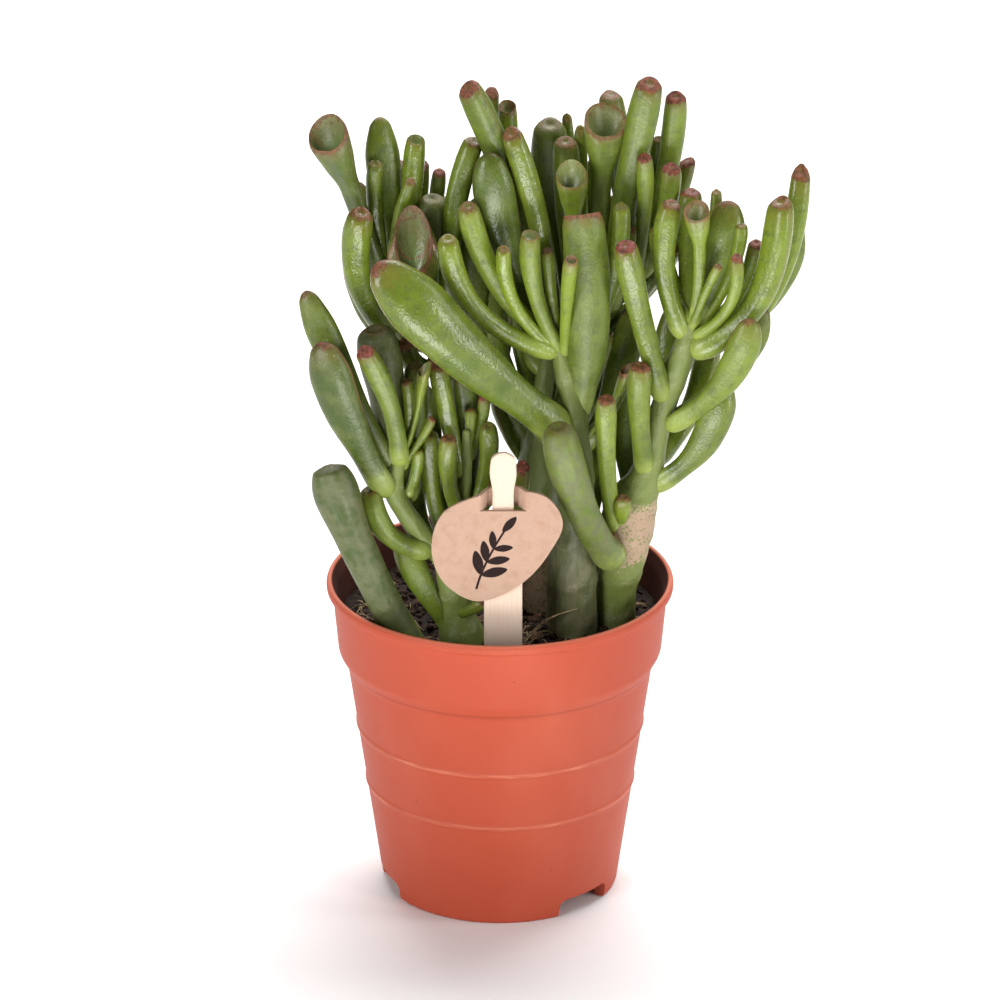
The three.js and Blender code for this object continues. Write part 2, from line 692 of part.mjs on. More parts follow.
// The soil, shaped by the pot's inside, less a plain hole for each stem and for the stake.
function soil(holes) {
  const { floor, wall, padRadius, padSlope, padWall } = POT;
  const side = (z) => potRadius(z - GAP) - wall - GAP;
  const floorTop = floor + wall;
  const profile = [
    [0, wall + GAP],
    [padRadius - padWall - 1.5 * GAP, wall + GAP],
    [padRadius + padSlope - 2.5 * GAP, floorTop + GAP],
    [side(floorTop) - SOIL.corner, floorTop + GAP],
    [side(floorTop + SOIL.corner), floorTop + SOIL.corner],
    [side(POT.shoulder), POT.shoulder + wall / 3],
    [side(POT.bandFoot), POT.bandFoot + wall / 3 + GAP],
    [side(SOIL.edge), SOIL.edge],
    ...SOIL.rings.toReversed().map((r) => [r, SOIL.top]),
    [0, SOIL.top],
  ];
  const lathe = new THREE.LatheGeometry(profile.map(([r, z]) => new THREE.Vector2(r, z)), SOIL.segments);
  lathe.rotateX(Math.PI / 2);
  const place = lathe.attributes.position;
  for (let i = 0; i < place.count; i++) {
    if (place.getZ(i) > SOIL.edge + GAP) place.setZ(i, soilHeight(place.getX(i), place.getY(i)));
  }
  return holes.reduce((whole, hole) => whole.subtract(hole), solid(lathe));
}

// A plain upright hole in the soil, from its lower end up.
function plainHole([x, y, z], radius) {
  const length = SOIL.top;
  const hole = new THREE.CylinderGeometry(radius, radius, length, HOLE.sides);
  return solid(hole.rotateX(Math.PI / 2).translate(x, y, z + length / 2));
}

// The stake's flat outline pushed to its thickness.
function stakeSolid(grow) {
  const right = STAKE.outline.map(([z, half]) => new THREE.Vector2(half + grow, z));
  const left = right.toReversed().map((p) => new THREE.Vector2(-p.x, p.y));
  const depth = STAKE.thickness + 2 * grow;
  const shape = new THREE.Shape([...right, ...left]);
  const flat = new THREE.ExtrudeGeometry(shape, { depth, bevelEnabled: false });
  return solid(flat.rotateX(Math.PI / 2).translate(STAKE.x, STAKE.y + depth / 2, 0));
}

// The card lies before the stake, but for the strip above its slit, which bows round behind its neck.
function card() {
  const { thickness, slit, slitHalf, bowHalf, bowSteps, edgeSteps } = CARD;
  const front = STAKE.y - STAKE.thickness / 2 - GAP - thickness;
  const closed = [...CARD.outline, CARD.outline[0]];
  const outline = new THREE.SplineCurve(closed.map(([x, z]) => new THREE.Vector2(x, z)));
  const shape = new THREE.Shape(outline.getPoints(edgeSteps).slice(0, -1));
  const prism = (depth, back) => {
    const flat = new THREE.ExtrudeGeometry(shape, { depth, bevelEnabled: false });
    return solid(flat.rotateX(Math.PI / 2).translate(0, back, 0));
  };
  const tall = STAKE.outline.at(-1)[0] - slit;
  const window = new THREE.BoxGeometry(2 * slitHalf, 4 * thickness, tall);
  const plate = prism(thickness, front + thickness).subtract(
    solid(window.translate(STAKE.x, front, slit + tall / 2)),
  );
  const bowDepth = STAKE.thickness + thickness + 2.5 * GAP;
  const reach = slitHalf + thickness / 2;
  const bow = spread(-reach, reach, bowSteps + 1).map((x) => {
    const rise = 1 - THREE.MathUtils.smoothstep(Math.abs(x), bowHalf, slitHalf);
    return new THREE.Vector2(STAKE.x + x, front + bowDepth * rise);
  });
  const back = bow.toReversed().map((p) => new THREE.Vector2(p.x, p.y + thickness));
  const band = new THREE.Shape([...bow, ...back]);
  const strip = new THREE.ExtrudeGeometry(band, { depth: tall, bevelEnabled: false });
  const room = bowDepth + 2 * thickness;
  const bridge = solid(strip.translate(0, 0, slit + GAP)).intersect(prism(2 * room, front + room));
  return plate.add(bridge);
}

const PAINT = {
  pot: [0xd7644b, 0.55],
  soil: [0x3a2a1e, 0.95],
  plant_left: [0x8ca546, 0.35],
  plant_middle: [0x6f8a3c, 0.35],
  plant_right: [0x87a045, 0.35],
  plant_back: [0x5d7a36, 0.4],
  leaf_rooted: [0x7d9640, 0.35],
  tag_stake: [0xf7dfcb, 0.7],
  tag_card: [0xe6bea5, 0.8],
};

function named(name, shape) {
  const [color, roughness] = PAINT[name];
  const material = new THREE.MeshStandardMaterial({ color, roughness, metalness: 0 });
  const mesh = new THREE.Mesh(geometryOf(shape), material);
  mesh.name = name;
  return mesh;
}

const PLANTS = {
  plant_left: PLANT_LEFT,
  plant_middle: PLANT_MIDDLE,
  plant_right: PLANT_RIGHT,
  plant_back: PLANT_BACK,
  leaf_rooted: LEAF_ROOTED,
};

const draw = draws(HIDDEN.seed);
const root = new THREE.Group();
const holes = [stakeSolid(GAP), plainHole(LEAF_HOLE.place, LEAF_HOLE.radius)];
const balls = Object.values(PLANTS).flatMap(({ stems, leaves }) => [
  ...stems.flatMap(stemBalls),
  ...leaves.flatMap((row) => leafBalls(row, BALLS.standsFrom)),
]);
for (const [name, { stems, leaves }] of Object.entries(PLANTS)) {
  const hidden = name in PAIRS ? hiddenLeaves(name, stems, draw, balls) : [];
  root.add(named(name, plant(stems, [...leaves, ...hidden])));
  for (const [[x, y, z], [, , , radius]] of stems.slice(0, 1)) {
    holes.push(plainHole([x, y, z - GAP], radius + HOLE.room));
  }
}
root.add(named("soil", soil(holes)));
root.add(named("pot", pot()));
root.add(named("tag_stake", stakeSolid(0)));
root.add(named("tag_card", card()));

export default root;
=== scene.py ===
"""A jade with finger-like leaves in a nursery pot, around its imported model. Metres, +Z up, front at -Y."""

import logging
from collections.abc import Iterable, Sequence
from dataclasses import dataclass, field
from enum import Enum
from typing import NamedTuple

import bpy
import numpy as np
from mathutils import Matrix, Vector


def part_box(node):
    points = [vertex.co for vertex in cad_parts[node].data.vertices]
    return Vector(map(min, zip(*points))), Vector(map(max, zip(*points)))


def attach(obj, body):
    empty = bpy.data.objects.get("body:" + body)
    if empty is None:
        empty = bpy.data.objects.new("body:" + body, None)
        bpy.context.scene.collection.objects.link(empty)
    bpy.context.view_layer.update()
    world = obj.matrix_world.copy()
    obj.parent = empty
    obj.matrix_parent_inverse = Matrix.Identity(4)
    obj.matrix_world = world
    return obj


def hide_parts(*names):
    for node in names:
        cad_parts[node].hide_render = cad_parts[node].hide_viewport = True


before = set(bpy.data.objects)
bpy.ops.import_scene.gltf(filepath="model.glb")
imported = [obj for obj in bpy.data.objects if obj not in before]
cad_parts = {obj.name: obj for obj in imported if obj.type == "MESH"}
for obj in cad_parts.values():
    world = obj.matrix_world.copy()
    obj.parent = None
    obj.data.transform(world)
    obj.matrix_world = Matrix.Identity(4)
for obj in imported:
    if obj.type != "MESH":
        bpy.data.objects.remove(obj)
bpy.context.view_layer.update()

MM = 0.001
GAP = 0.3 * MM
Array = np.ndarray
Row = tuple
Pair = tuple[float, float]
Color = tuple[float, float, float]
Socket = bpy.types.NodeSocket
Material = bpy.types.Material
Mesh = bpy.types.Mesh
Piece = bpy.types.Object
log = logging.getLogger("jade")


def srgb(red: float, green: float, blue: float) -> Color:
    """A colour given in 0 to 255 as a screen shows it, as linear light."""
    return tuple(((v / 255 + 0.055) / 1.055) ** 2.4 if v > 10 else v / 3295 for v in (red, green, blue))


def unit(vectors: Array) -> Array:
    """Vectors scaled to length 1 along their last axis."""
    return vectors / np.maximum(np.linalg.norm(vectors, axis=-1, keepdims=True), 1e-12)


def smoothstep(values: Array, low: float, high: float) -> Array:
    """Values eased from 0 at low to 1 at high."""
    share = np.clip((values - low) / (high - low), 0, 1)
    return share * share * (3 - 2 * share)


def heading(angle: float) -> Array:
    """The unit vector on the ground at a compass angle in degrees, from the front (-Y) towards +X."""
    turn = np.radians(angle)
    return np.array([np.sin(turn), -np.cos(turn), 0.0])


def turns(count: int, shift: float = 0.0) -> Array:
    """A row of even turns in radians, once round."""
    return (2 * np.pi * (np.arange(count) + shift) / count)[None, :]


def lengths(rows: Array) -> Array:
    """How far along a polyline each of its points lies."""
    return np.concatenate([[0.0], np.cumsum(np.linalg.norm(np.diff(rows, axis=0), axis=1))])


def hoops(path: Array, side: Array, reach: Array, turn: Array) -> Array:
    """Rings about a path.

    Args:
        path: the rings' centres.
        side: for each, the direction that its turns start from.
        reach: how far its points lie from it.
        turn: the turns in radians.

    Returns:
        Rings by turns by 3.
    """
    other = np.cross(unit(np.gradient(path, axis=0)), side)
    across, up = reach * np.cos(turn), reach * np.sin(turn)
    return path[:, None] + side[:, None] * across[..., None] + other[:, None] * up[..., None]


def stacked(shape: Sequence[int], *parts: Array | float) -> Array:
    """Values for every vertex of a grid, each given as an array or a number that is spread over it."""
    return np.stack([np.broadcast_to(part, shape) for part in parts], axis=-1)


def slopes_of(rows: Array, at: Array, calm: bool) -> Array:
    """Slopes at points along a curve.

    Args:
        rows: the points, a row each.
        at: the parameter at each.
        calm: whether a column never overshoots. Its slope is then the harmonic mean of those to both sides,
            and 0 where they differ in sign. Otherwise it is the slope of the parabola through three points.

    Returns:
        A slope for each point and column.
    """
    if not calm:
        return np.gradient(rows, at, axis=0)
    step = np.diff(rows, axis=0) / np.diff(at)[:, None]
    before, after = step[:-1], step[1:]
    total = np.where(before + after == 0, 1, before + after)
    inner = np.where(before * after > 0, 2 * before * after / total, 0)
    return np.concatenate([step[:1], inner, step[-1:]])


def through(
    points: Sequence, count: int, measured: int | None = None, crowd: float = 1.0, calm: bool = False
) -> Array:
    """A smooth curve through points: a cubic between each two, with their distance as the parameter.

    Args:
        points: rows of any number of columns.
        count: how many points the curve gets.
        measured: how many of the first columns the distance is measured in, all if None.
        crowd: over 1, the points crowd towards the end.
        calm: whether no column overshoots its points.

    Returns:
        The curve's points, a row each.
    """
    rows = np.asarray(points, float)
    at = lengths(rows[:, :measured])
    slopes = slopes_of(rows, at, calm)
    where = at[-1] * (1 - (1 - np.linspace(0, 1, count)) ** crowd)
    left = np.clip(np.searchsorted(at, where, side="right") - 1, 0, len(at) - 2)
    width = (at[left + 1] - at[left])[:, None]
    x = (where - at[left])[:, None] / width
    ends = rows[left] * (2 * x**3 - 3 * x**2 + 1) + rows[left + 1] * (3 * x**2 - 2 * x**3)
    return ends + width * (slopes[left] * (x**3 - 2 * x**2 + x) + slopes[left + 1] * (x**3 - x**2))


def around(points: Sequence, count: int) -> Array:
    """A smooth closed curve through points.

    Args:
        points: rows, the first not repeated.
        count: how many points the curve gets.

    Returns:
        The middle one of three laps of through(), in even steps.
    """
    rows = np.asarray(points, float)
    laps = np.concatenate([rows, rows, rows, rows[:1]])
    fine = through(laps, 24 * len(laps))
    lap = fine[len(fine) // 3 : 2 * len(fine) // 3 + 1]
    at = lengths(lap)
    where = np.linspace(0, at[-1], count, endpoint=False)
    return np.stack([np.interp(where, at, column) for column in lap.T], axis=1)


def eased(points: Sequence, radius: float, steps: int = 4) -> Array:
    """A polyline with its corners cut by parabolas.

    Args:
        points: rows of x and y.
        radius: how far from a corner its parabola starts, at most 0.45 of either side.
        steps: points on each parabola.

    Returns:
        The eased polyline, with its first and last points kept.
    """
    rows = np.asarray(points, float)
    corner = rows[1:-1]
    sides = rows[:-2] - corner, rows[2:] - corner
    reach = [np.minimum(radius, 0.45 * np.linalg.norm(side, axis=1))[:, None] for side in sides]
    start, end = (corner + unit(side) * far for side, far in zip(sides, reach))
    t = np.linspace(0, 1, steps)[None, :, None]
    bends = start[:, None] * (1 - t) ** 2 + 2 * corner[:, None] * t * (1 - t) + end[:, None] * t**2
    return np.concatenate([rows[:1], bends.reshape(-1, 2), rows[-1:]])


def ripples(x: Array, y: Array, cell: float, seed: int) -> Array:
    """Smooth noise from -1 to 1: random heights on a square lattice, eased between its corners.

    Args:
        x: places across.
        y: places in depth.
        cell: the lattice's step in metres.
        seed: what the heights are drawn from.

    Returns:
        The noise at each place.
    """
    lattice = 64
    heights = np.random.default_rng(seed).uniform(-1, 1, (lattice, lattice))
    u, v = x / cell, y / cell
    i, j = np.floor(u).astype(int), np.floor(v).astype(int)
    a, b = smoothstep(u - i, 0, 1), smoothstep(v - j, 0, 1)

    def row(k: Array) -> Array:
        """The heights at one row of the lattice, eased across."""
        return heights[i % lattice, k % lattice] * (1 - a) + heights[(i + 1) % lattice, k % lattice] * a

    return row(j) * (1 - b) + row(j + 1) * b


def linked(name: str, data: bpy.types.ID) -> Piece:
    """Makes an object in the scene.

    Args:
        name: its name.
        data: its mesh, camera or light.

    Returns:
        The object.
    """
    made = bpy.data.objects.new(name, data)
    bpy.context.scene.collection.objects.link(made)
    return made


def modified(piece: Piece, kind: str, **settings: object) -> None:
    """Adds a modifier.

    Args:
        piece: what it changes.
        kind: its type.
        **settings: its settings, by name.
    """
    modifier = piece.modifiers.new(kind.lower(), kind)
    for name, value in settings.items():
        setattr(modifier, name, value)


def mounted(piece: Piece, node: str) -> Piece:
    """Rides a piece on the root and lets it stand for a node.

    Args:
        piece: the piece.
        node: the node whose slot it takes, and which it replaces.

    Returns:
        The piece.
    """
    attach(piece, "root")
    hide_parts(node)
    log.info("%s: %d faces", piece.name, len(piece.data.polygons))
    return piece


@dataclass
class Skin:
    """A mesh in the making: closed patches, each with its faces, a finish and values for the shader."""

    points: list[Array] = field(default_factory=list)
    faces: list[list[int]] = field(default_factory=list)
    finishes: list[int] = field(default_factory=list)
    values: dict[str, list[Array]] = field(default_factory=dict)
    size: int = 0

    def tube(self, rings: Array, start: Array, end: Array, finish: int = 0, **values: Array) -> None:
        """Adds a closed skin over rings that turn alike, with a fan to a pole at each end.

        Args:
            rings: rings by sides by 3, counter-clockwise about the way from the first to the last.
            start: the pole before the first ring.
            end: the pole after the last ring.
            finish: the place of its finish in the piece's list.
            **values: rings by sides by 3 numbers that the shader reads, by attribute name.
        """
        count, sides = rings.shape[:2]
        first = self.size + 1
        last = first + sides * (count - 1)
        side = np.arange(sides)
        after = (side + 1) % sides
        row = first + sides * np.arange(count - 1)[:, None]
        quads = np.stack([row + side, row + after, row + after + sides, row + side + sides], axis=-1)
        first_fan = stacked([sides], self.size, first + after, first + side)
        last_fan = stacked([sides], last + sides, last + side, last + after)
        made = quads.reshape(-1, 4).tolist() + first_fan.tolist() + last_fan.tolist()
        self.points.append(np.concatenate([start[None], rings.reshape(-1, 3), end[None]]))
        self.faces += made
        self.finishes += [finish] * len(made)
        for name, grid in values.items():
            poles = grid[[0, -1]].mean(axis=1)
            every = np.concatenate([poles[:1], grid.reshape(-1, 3), poles[1:]])
            self.values.setdefault(name, []).append(every)
        self.size += 2 + count * sides

    def mesh(self, name: str) -> Mesh:
        """Makes the bare mesh.

        Args:
            name: its name.

        Returns:
            The mesh.
        """
        mesh = bpy.data.meshes.new(name)
        mesh.from_pydata(np.concatenate(self.points).tolist(), [], self.faces)
        return mesh

    def piece(
        self, name: str, finishes: Sequence[Material], node: str, crease: float
    ) -> Piece:
        """Makes the mesh an object that rides on the root and stands for a node.

        Args:
            name: the piece's name.
            finishes: its materials.
            node: the node whose slot it takes, and which it replaces.
            crease: the angle in degrees from which an edge is sharp.

        Returns:
            The object.
        """
        mesh = self.mesh(name)
        for finish in finishes:
            mesh.materials.append(finish)
        mesh.polygons.foreach_set("material_index", self.finishes)
        mesh.polygons.foreach_set("use_smooth", [True] * len(self.faces))
        mesh.set_sharp_from_angle(angle=np.radians(crease))
        for attribute, parts in self.values.items():
            layer = mesh.attributes.new(attribute, "FLOAT_VECTOR", "POINT")
            layer.data.foreach_set("vector", np.concatenate(parts).ravel())
        return mounted(linked(name, mesh), node)


class Tone:
    """A shader socket with a value. Its operators add Math nodes to the same material."""

    def __init__(self, palette: "Palette", socket: Socket) -> None:
        """Wraps a socket of a palette's material."""
        self.palette = palette
        self.socket = socket

    def math(self, operation: str, *values: "Tone | float") -> "Tone":
        """A Math node of that operation on values."""
        made = self.palette.node("ShaderNodeMath", {"operation": operation}, values)
        return Tone(self.palette, made.outputs[0])

    def __add__(self, other: "Tone | float") -> "Tone":
        """This plus other."""
        return self.math("ADD", self, other)

    def __sub__(self, other: "Tone | float") -> "Tone":
        """This minus other."""
        return self.math("SUBTRACT", self, other)

    def __rsub__(self, other: float) -> "Tone":
        """Other minus this."""
        return self.math("SUBTRACT", other, self)

    def __mul__(self, other: "Tone | float") -> "Tone":
        """This times other."""
        return self.math("MULTIPLY", self, other)

    def __truediv__(self, other: "Tone | float") -> "Tone":
        """This over other."""
        return self.math("DIVIDE", self, other)

    def __pow__(self, other: float) -> "Tone":
        """This to a power."""
        return self.math("POWER", self, other)

    def __abs__(self) -> "Tone":
        """The size of this."""
        return self.math("ABSOLUTE", self)

    __radd__ = __add__
    __rmul__ = __mul__

    def most(self, other: "Tone | float") -> "Tone":
        """The greater of this and other."""
        return self.math("MAXIMUM", self, other)

    def step(self, low: float, high: float) -> "Tone":
        """Eases this value.

        Args:
            low: where the result is 0. It may be the greater of the two.
            high: where the result is 1.

        Returns:
            The eased value.
        """
        settings = {"interpolation_type": "SMOOTHSTEP"}
        ends = (low, high, 0.0, 1.0) if low < high else (high, low, 1.0, 0.0)
        made = self.palette.node("ShaderNodeMapRange", settings, [self, *ends])
        return Tone(self.palette, made.outputs[0])


class Palette:
    """One material and the nodes that it is mixed from."""

    def __init__(self, name: str) -> None:
        """Starts a material with a bare Principled shader.

        Args:
            name: its name.
        """
        self.material = bpy.data.materials.new(name)
        self.material.use_nodes = True
        self.tree = self.material.node_tree
        self.shader = self.tree.nodes["Principled BSDF"]
        self.place = self.node("ShaderNodeTexCoord", {}, []).outputs["Object"]

    def node(self, kind: str, settings: dict, inputs: Sequence | dict) -> bpy.types.Node:
        """Adds a node.

        Args:
            kind: the node's type.
            settings: its own settings, set before its sockets.
            inputs: values, tones, sockets or None for its inputs, in order or by name.

        Returns:
            The node.
        """
        made = self.tree.nodes.new(kind)
        for name, value in settings.items():
            setattr(made, name, value)
        pairs = inputs.items() if isinstance(inputs, dict) else enumerate(inputs)
        for key, value in pairs:
            self.feed(made.inputs[key], value)
        return made

    def feed(self, socket: Socket, value: object) -> None:
        """Links a tone or a socket to a socket, or sets a value on it.

        Args:
            socket: what is fed.
            value: a tone, socket, number, vector or colour, or None to leave it.
        """
        source = value.socket if isinstance(value, Tone) else value
        if isinstance(source, Socket):
            self.tree.links.new(source, socket)
        elif source is not None:
            socket.default_value = (*source, 1.0) if socket.type == "RGBA" else source

    def split(self, vector: Socket) -> list[Tone]:
        """The three values of a vector socket."""
        parts = self.node("ShaderNodeSeparateXYZ", {}, [vector])
        return [Tone(self, socket) for socket in parts.outputs]

    def attribute(self, name: str) -> list[Tone]:
        """The three values of a vector that the mesh holds."""
        made = self.node("ShaderNodeAttribute", {"attribute_name": name}, [])
        return self.split(made.outputs["Vector"])

    def stretched(self, across: float, up: float) -> Socket:
        """The object's coordinates, scaled across and upwards."""
        inputs = {"Vector": self.place, "Scale": (across, across, up)}
        return self.node("ShaderNodeMapping", {}, inputs).outputs[0]

    def noise(self, grain: float, detail: float = 2.0, place: Socket | None = None) -> Tone:
        """Cloudy noise from 0 to 1.

        Args:
            grain: the size of its clouds in metres.
            detail: how many finer layers it has.
            place: the coordinates, the object's own if None.

        Returns:
            The noise.
        """
        inputs = {"Vector": place or self.place, "Scale": 1 / grain, "Detail": detail}
        return Tone(self, self.node("ShaderNodeTexNoise", {}, inputs).outputs[0])

    def cells(self, grain: float) -> Tone:
        """The distance to the nearest of scattered points, in units of the grain between them."""
        inputs = {"Vector": self.place, "Scale": 1 / grain}
        return Tone(self, self.node("ShaderNodeTexVoronoi", {}, inputs).outputs["Distance"])

    def mix(self, first: object, second: object, share: Tone | float) -> Socket:
        """Mixes two colours.

        Args:
            first: the colour or socket at share 0.
            second: the one at share 1.
            share: the share.

        Returns:
            The mixed colour.
        """
        made = self.node("ShaderNodeMix", {"data_type": "RGBA"}, [])
        for socket, value in zip((made.inputs[0], made.inputs[6], made.inputs[7]), (share, first, second)):
            self.feed(socket, value)
        return made.outputs[2]

    def coats(self, color: object, *layers: tuple[object, Tone]) -> Socket:
        """Lays colours over one another.

        Args:
            color: the lowest.
            *layers: each colour above it, with the share in which it is laid on.

        Returns:
            The colour seen from above.
        """
        for layer, share in layers:
            color = self.mix(color, layer, share)
        return color

    def bumps(self, *layers: tuple[Tone, float]) -> Socket:
        """Bumps the surface.

        Args:
            *layers: heights of 0 to 1, each with the depth in metres that 1 stands for.

        Returns:
            The normal.
        """
        normal = None
        for height, depth in layers:
            inputs = {"Height": height, "Distance": depth, "Normal": normal}
            normal = self.node("ShaderNodeBump", {}, inputs).outputs[0]
        return normal

    def finish(self, **inputs: object) -> Material:
        """Sets the shader's sockets.

        Args:
            **inputs: values by the socket's name, with _ for a space.

        Returns:
            The material.
        """
        for name, value in inputs.items():
            self.feed(self.shader.inputs[name.replace("_", " ")], value)
        return self.material


@dataclass(frozen=True)
class LeafSkin:
    """Waxy succulent skin. It reads three attributes of the mesh: grow holds the share of the length, the
    distance to the rim in mm, positive outside the mouth, and how far the surface looks up. leaf holds tone,
    redness and edge line. mouth holds how far out from its middle, whether it is an open dish, and how dull
    the leaf is."""

    young: Color = (0.174, 0.240, 0.017)
    old: Color = (0.044, 0.070, 0.007)
    bloom: Color = (0.108, 0.128, 0.034)
    pale: Color = (0.300, 0.370, 0.080)
    deep: Color = (0.018, 0.034, 0.004)
    dark_red: Color = (0.070, 0.012, 0.010)
    red: Color = (0.250, 0.045, 0.034)
    brown: Color = (0.150, 0.070, 0.028)
    rim: Color = (0.250, 0.120, 0.062)
    # colour of the pale dots: partly hydathodes, partly painted glints of the waxy skin
    dot_and_glint: Color = (0.520, 0.590, 0.300)
    dish: Color = (0.190, 0.250, 0.085)
    dust: Color = (0.116, 0.114, 0.058)
    cloud_size: float = 6 * MM
    spot_size: float = 2.2 * MM
    fine_size: float = 0.75 * MM
    grain_size: float = 0.4 * MM
    dot_size: float = 1.3 * MM
    bead_size: float = 0.9 * MM
    depths: Sequence[float] = (0.16 * MM, 0.06 * MM, 0.07 * MM, 0.024 * MM, 0.02 * MM)
    gloss: float = 0.06
    crust_rough: float = 0.35

    def material(self) -> Material:
        """Mixes the skin: body colours, then dust, the dish, the edge line, and the worn red tip on top.

        Returns:
            The material.
        """
        p = Palette("leaf_skin")
        share, rim, up = p.attribute("grow")
        tone, redness, edge = p.attribute("leaf")
        out, dish, dull = p.attribute("mouth")
        clouds, spots = p.noise(self.cloud_size, 3), p.noise(self.spot_size, 3)
        fine, grain = p.noise(self.fine_size), p.noise(self.grain_size)
        beads = p.cells(self.bead_size).step(0.6, 0.1)
        mottle = clouds * 0.5 + spots * 0.5
        uneven = spots - 0.5
        youth = (tone + (clouds - 0.5) * 0.8 + (share - 0.5) * 0.2).step(0.0, 1.0)
        # pale dots in cloudy patches: partly the skin's hydathodes, partly painted glints standing for sparkle
        # in the highlights.
        dots_and_glints = p.cells(self.dot_size).step(0.24, 0.08) * clouds.step(0.45, 0.7) * fine.step(0.4, 0.6)
        inner = dish * out.step(0.98, 0.86) * rim.step(0.2, -0.3)
        line = (abs(up) + uneven * 0.12).step(0.24, 0.04) * share.step(0.2, 0.8) * edge
        near = abs(rim)
        blush = (near + uneven * 7).step(5.0, 0.3) * redness
        crust = p.mix(self.dark_red, self.red, fine.step(0.35, 0.62))
        strength = redness**0.5
        worn = near + (fine - 0.5) * 1.8 + uneven * 2.4 - redness * 0.9
        cap = worn.step(0.65, -0.1) * strength * (1 - dish * 0.3)
        heart = (1 - dish) * rim.step(-0.1, -0.5) * strength
        body = p.coats(
            self.old,
            (self.young, youth),
            (self.bloom, mottle.step(0.4, 0.68) * (0.85 - tone * 0.7)),
            (self.deep, spots.step(0.5, 0.8) * 0.35),
            (self.deep, fine.step(0.5, 0.75) * 0.2),
            (self.pale, (share + uneven * 0.12).step(0.2, 0.02) * 0.6),
            (self.dot_and_glint, dots_and_glints * 0.4),
            (self.dust, mottle.step(0.36, 0.62) * dull.step(0.85, 0.95) * 0.55),
            (self.dish, inner * 0.7),
            (self.rim, line * 0.8),
            (self.brown, blush * 0.55),
            (crust, cap * 0.9),
            (crust, heart * 0.4),
        )
        rough = dull * 0.24 + clouds * 0.12 + spots * 0.16 + fine * 0.06 + cap * self.crust_rough
        return p.finish(
            Base_Color=body,
            Roughness=rough + self.gloss,
            Normal=p.bumps(*zip((clouds, spots, fine, grain, beads), self.depths)),
            Subsurface_Weight=0.06,
            Subsurface_Radius=(0.8, 1.0, 0.3),
            Subsurface_Scale=1.0 * MM,
            Specular_IOR_Level=0.45,
        )


@dataclass(frozen=True)
class StemSkin:
    """Green to corky skin. It reads the attribute stem (cork, olive and joint, each 0 to 1)."""

    green: Color = (0.150, 0.190, 0.042)
    olive: Color = (0.082, 0.100, 0.028)
    cork: Color = (0.440, 0.280, 0.215)
    scar: Color = (0.430, 0.400, 0.240)
    dust: Color = (0.200, 0.172, 0.105)
    cloud_size: float = 5 * MM
    streak_size: float = 1.6 * MM
    fine_size: float = 0.7 * MM
    depths: Sequence[float] = (0.5 * MM, 0.2 * MM, 0.12 * MM)

    def material(self) -> Material:
        """Mixes the skin: green to olive, then dust, cork in speckles and pale scars at the joints.

        Returns:
            The material.
        """
        p = Palette("stem_skin")
        cork, olive, joint = p.attribute("stem")
        clouds = p.noise(self.cloud_size, 4)
        streaks = p.noise(self.streak_size, 3, p.stretched(1.0, 0.25))
        fine = p.noise(self.fine_size, 3)
        speckle = cork + (clouds - 0.5) * 0.9 + (fine - 0.5) * 2.4
        body = p.coats(
            self.green,
            (self.olive, (olive + (clouds - 0.5) * 0.7).step(0.05, 0.85)),
            (self.dust, (olive * 0.5 + streaks).step(0.78, 1.1) * 0.45),
            (self.cork, speckle.step(0.5, 1.0) * 0.8),
            (self.scar, joint * fine.step(0.35, 0.65) * clouds.step(0.4, 0.65) * 0.4),
        )
        normal = p.bumps(*zip((clouds, streaks, fine), self.depths))
        rough = 0.4 + cork * 0.3 + fine * 0.15
        return p.finish(Base_Color=body, Roughness=rough, Normal=normal, Specular_IOR_Level=0.45)


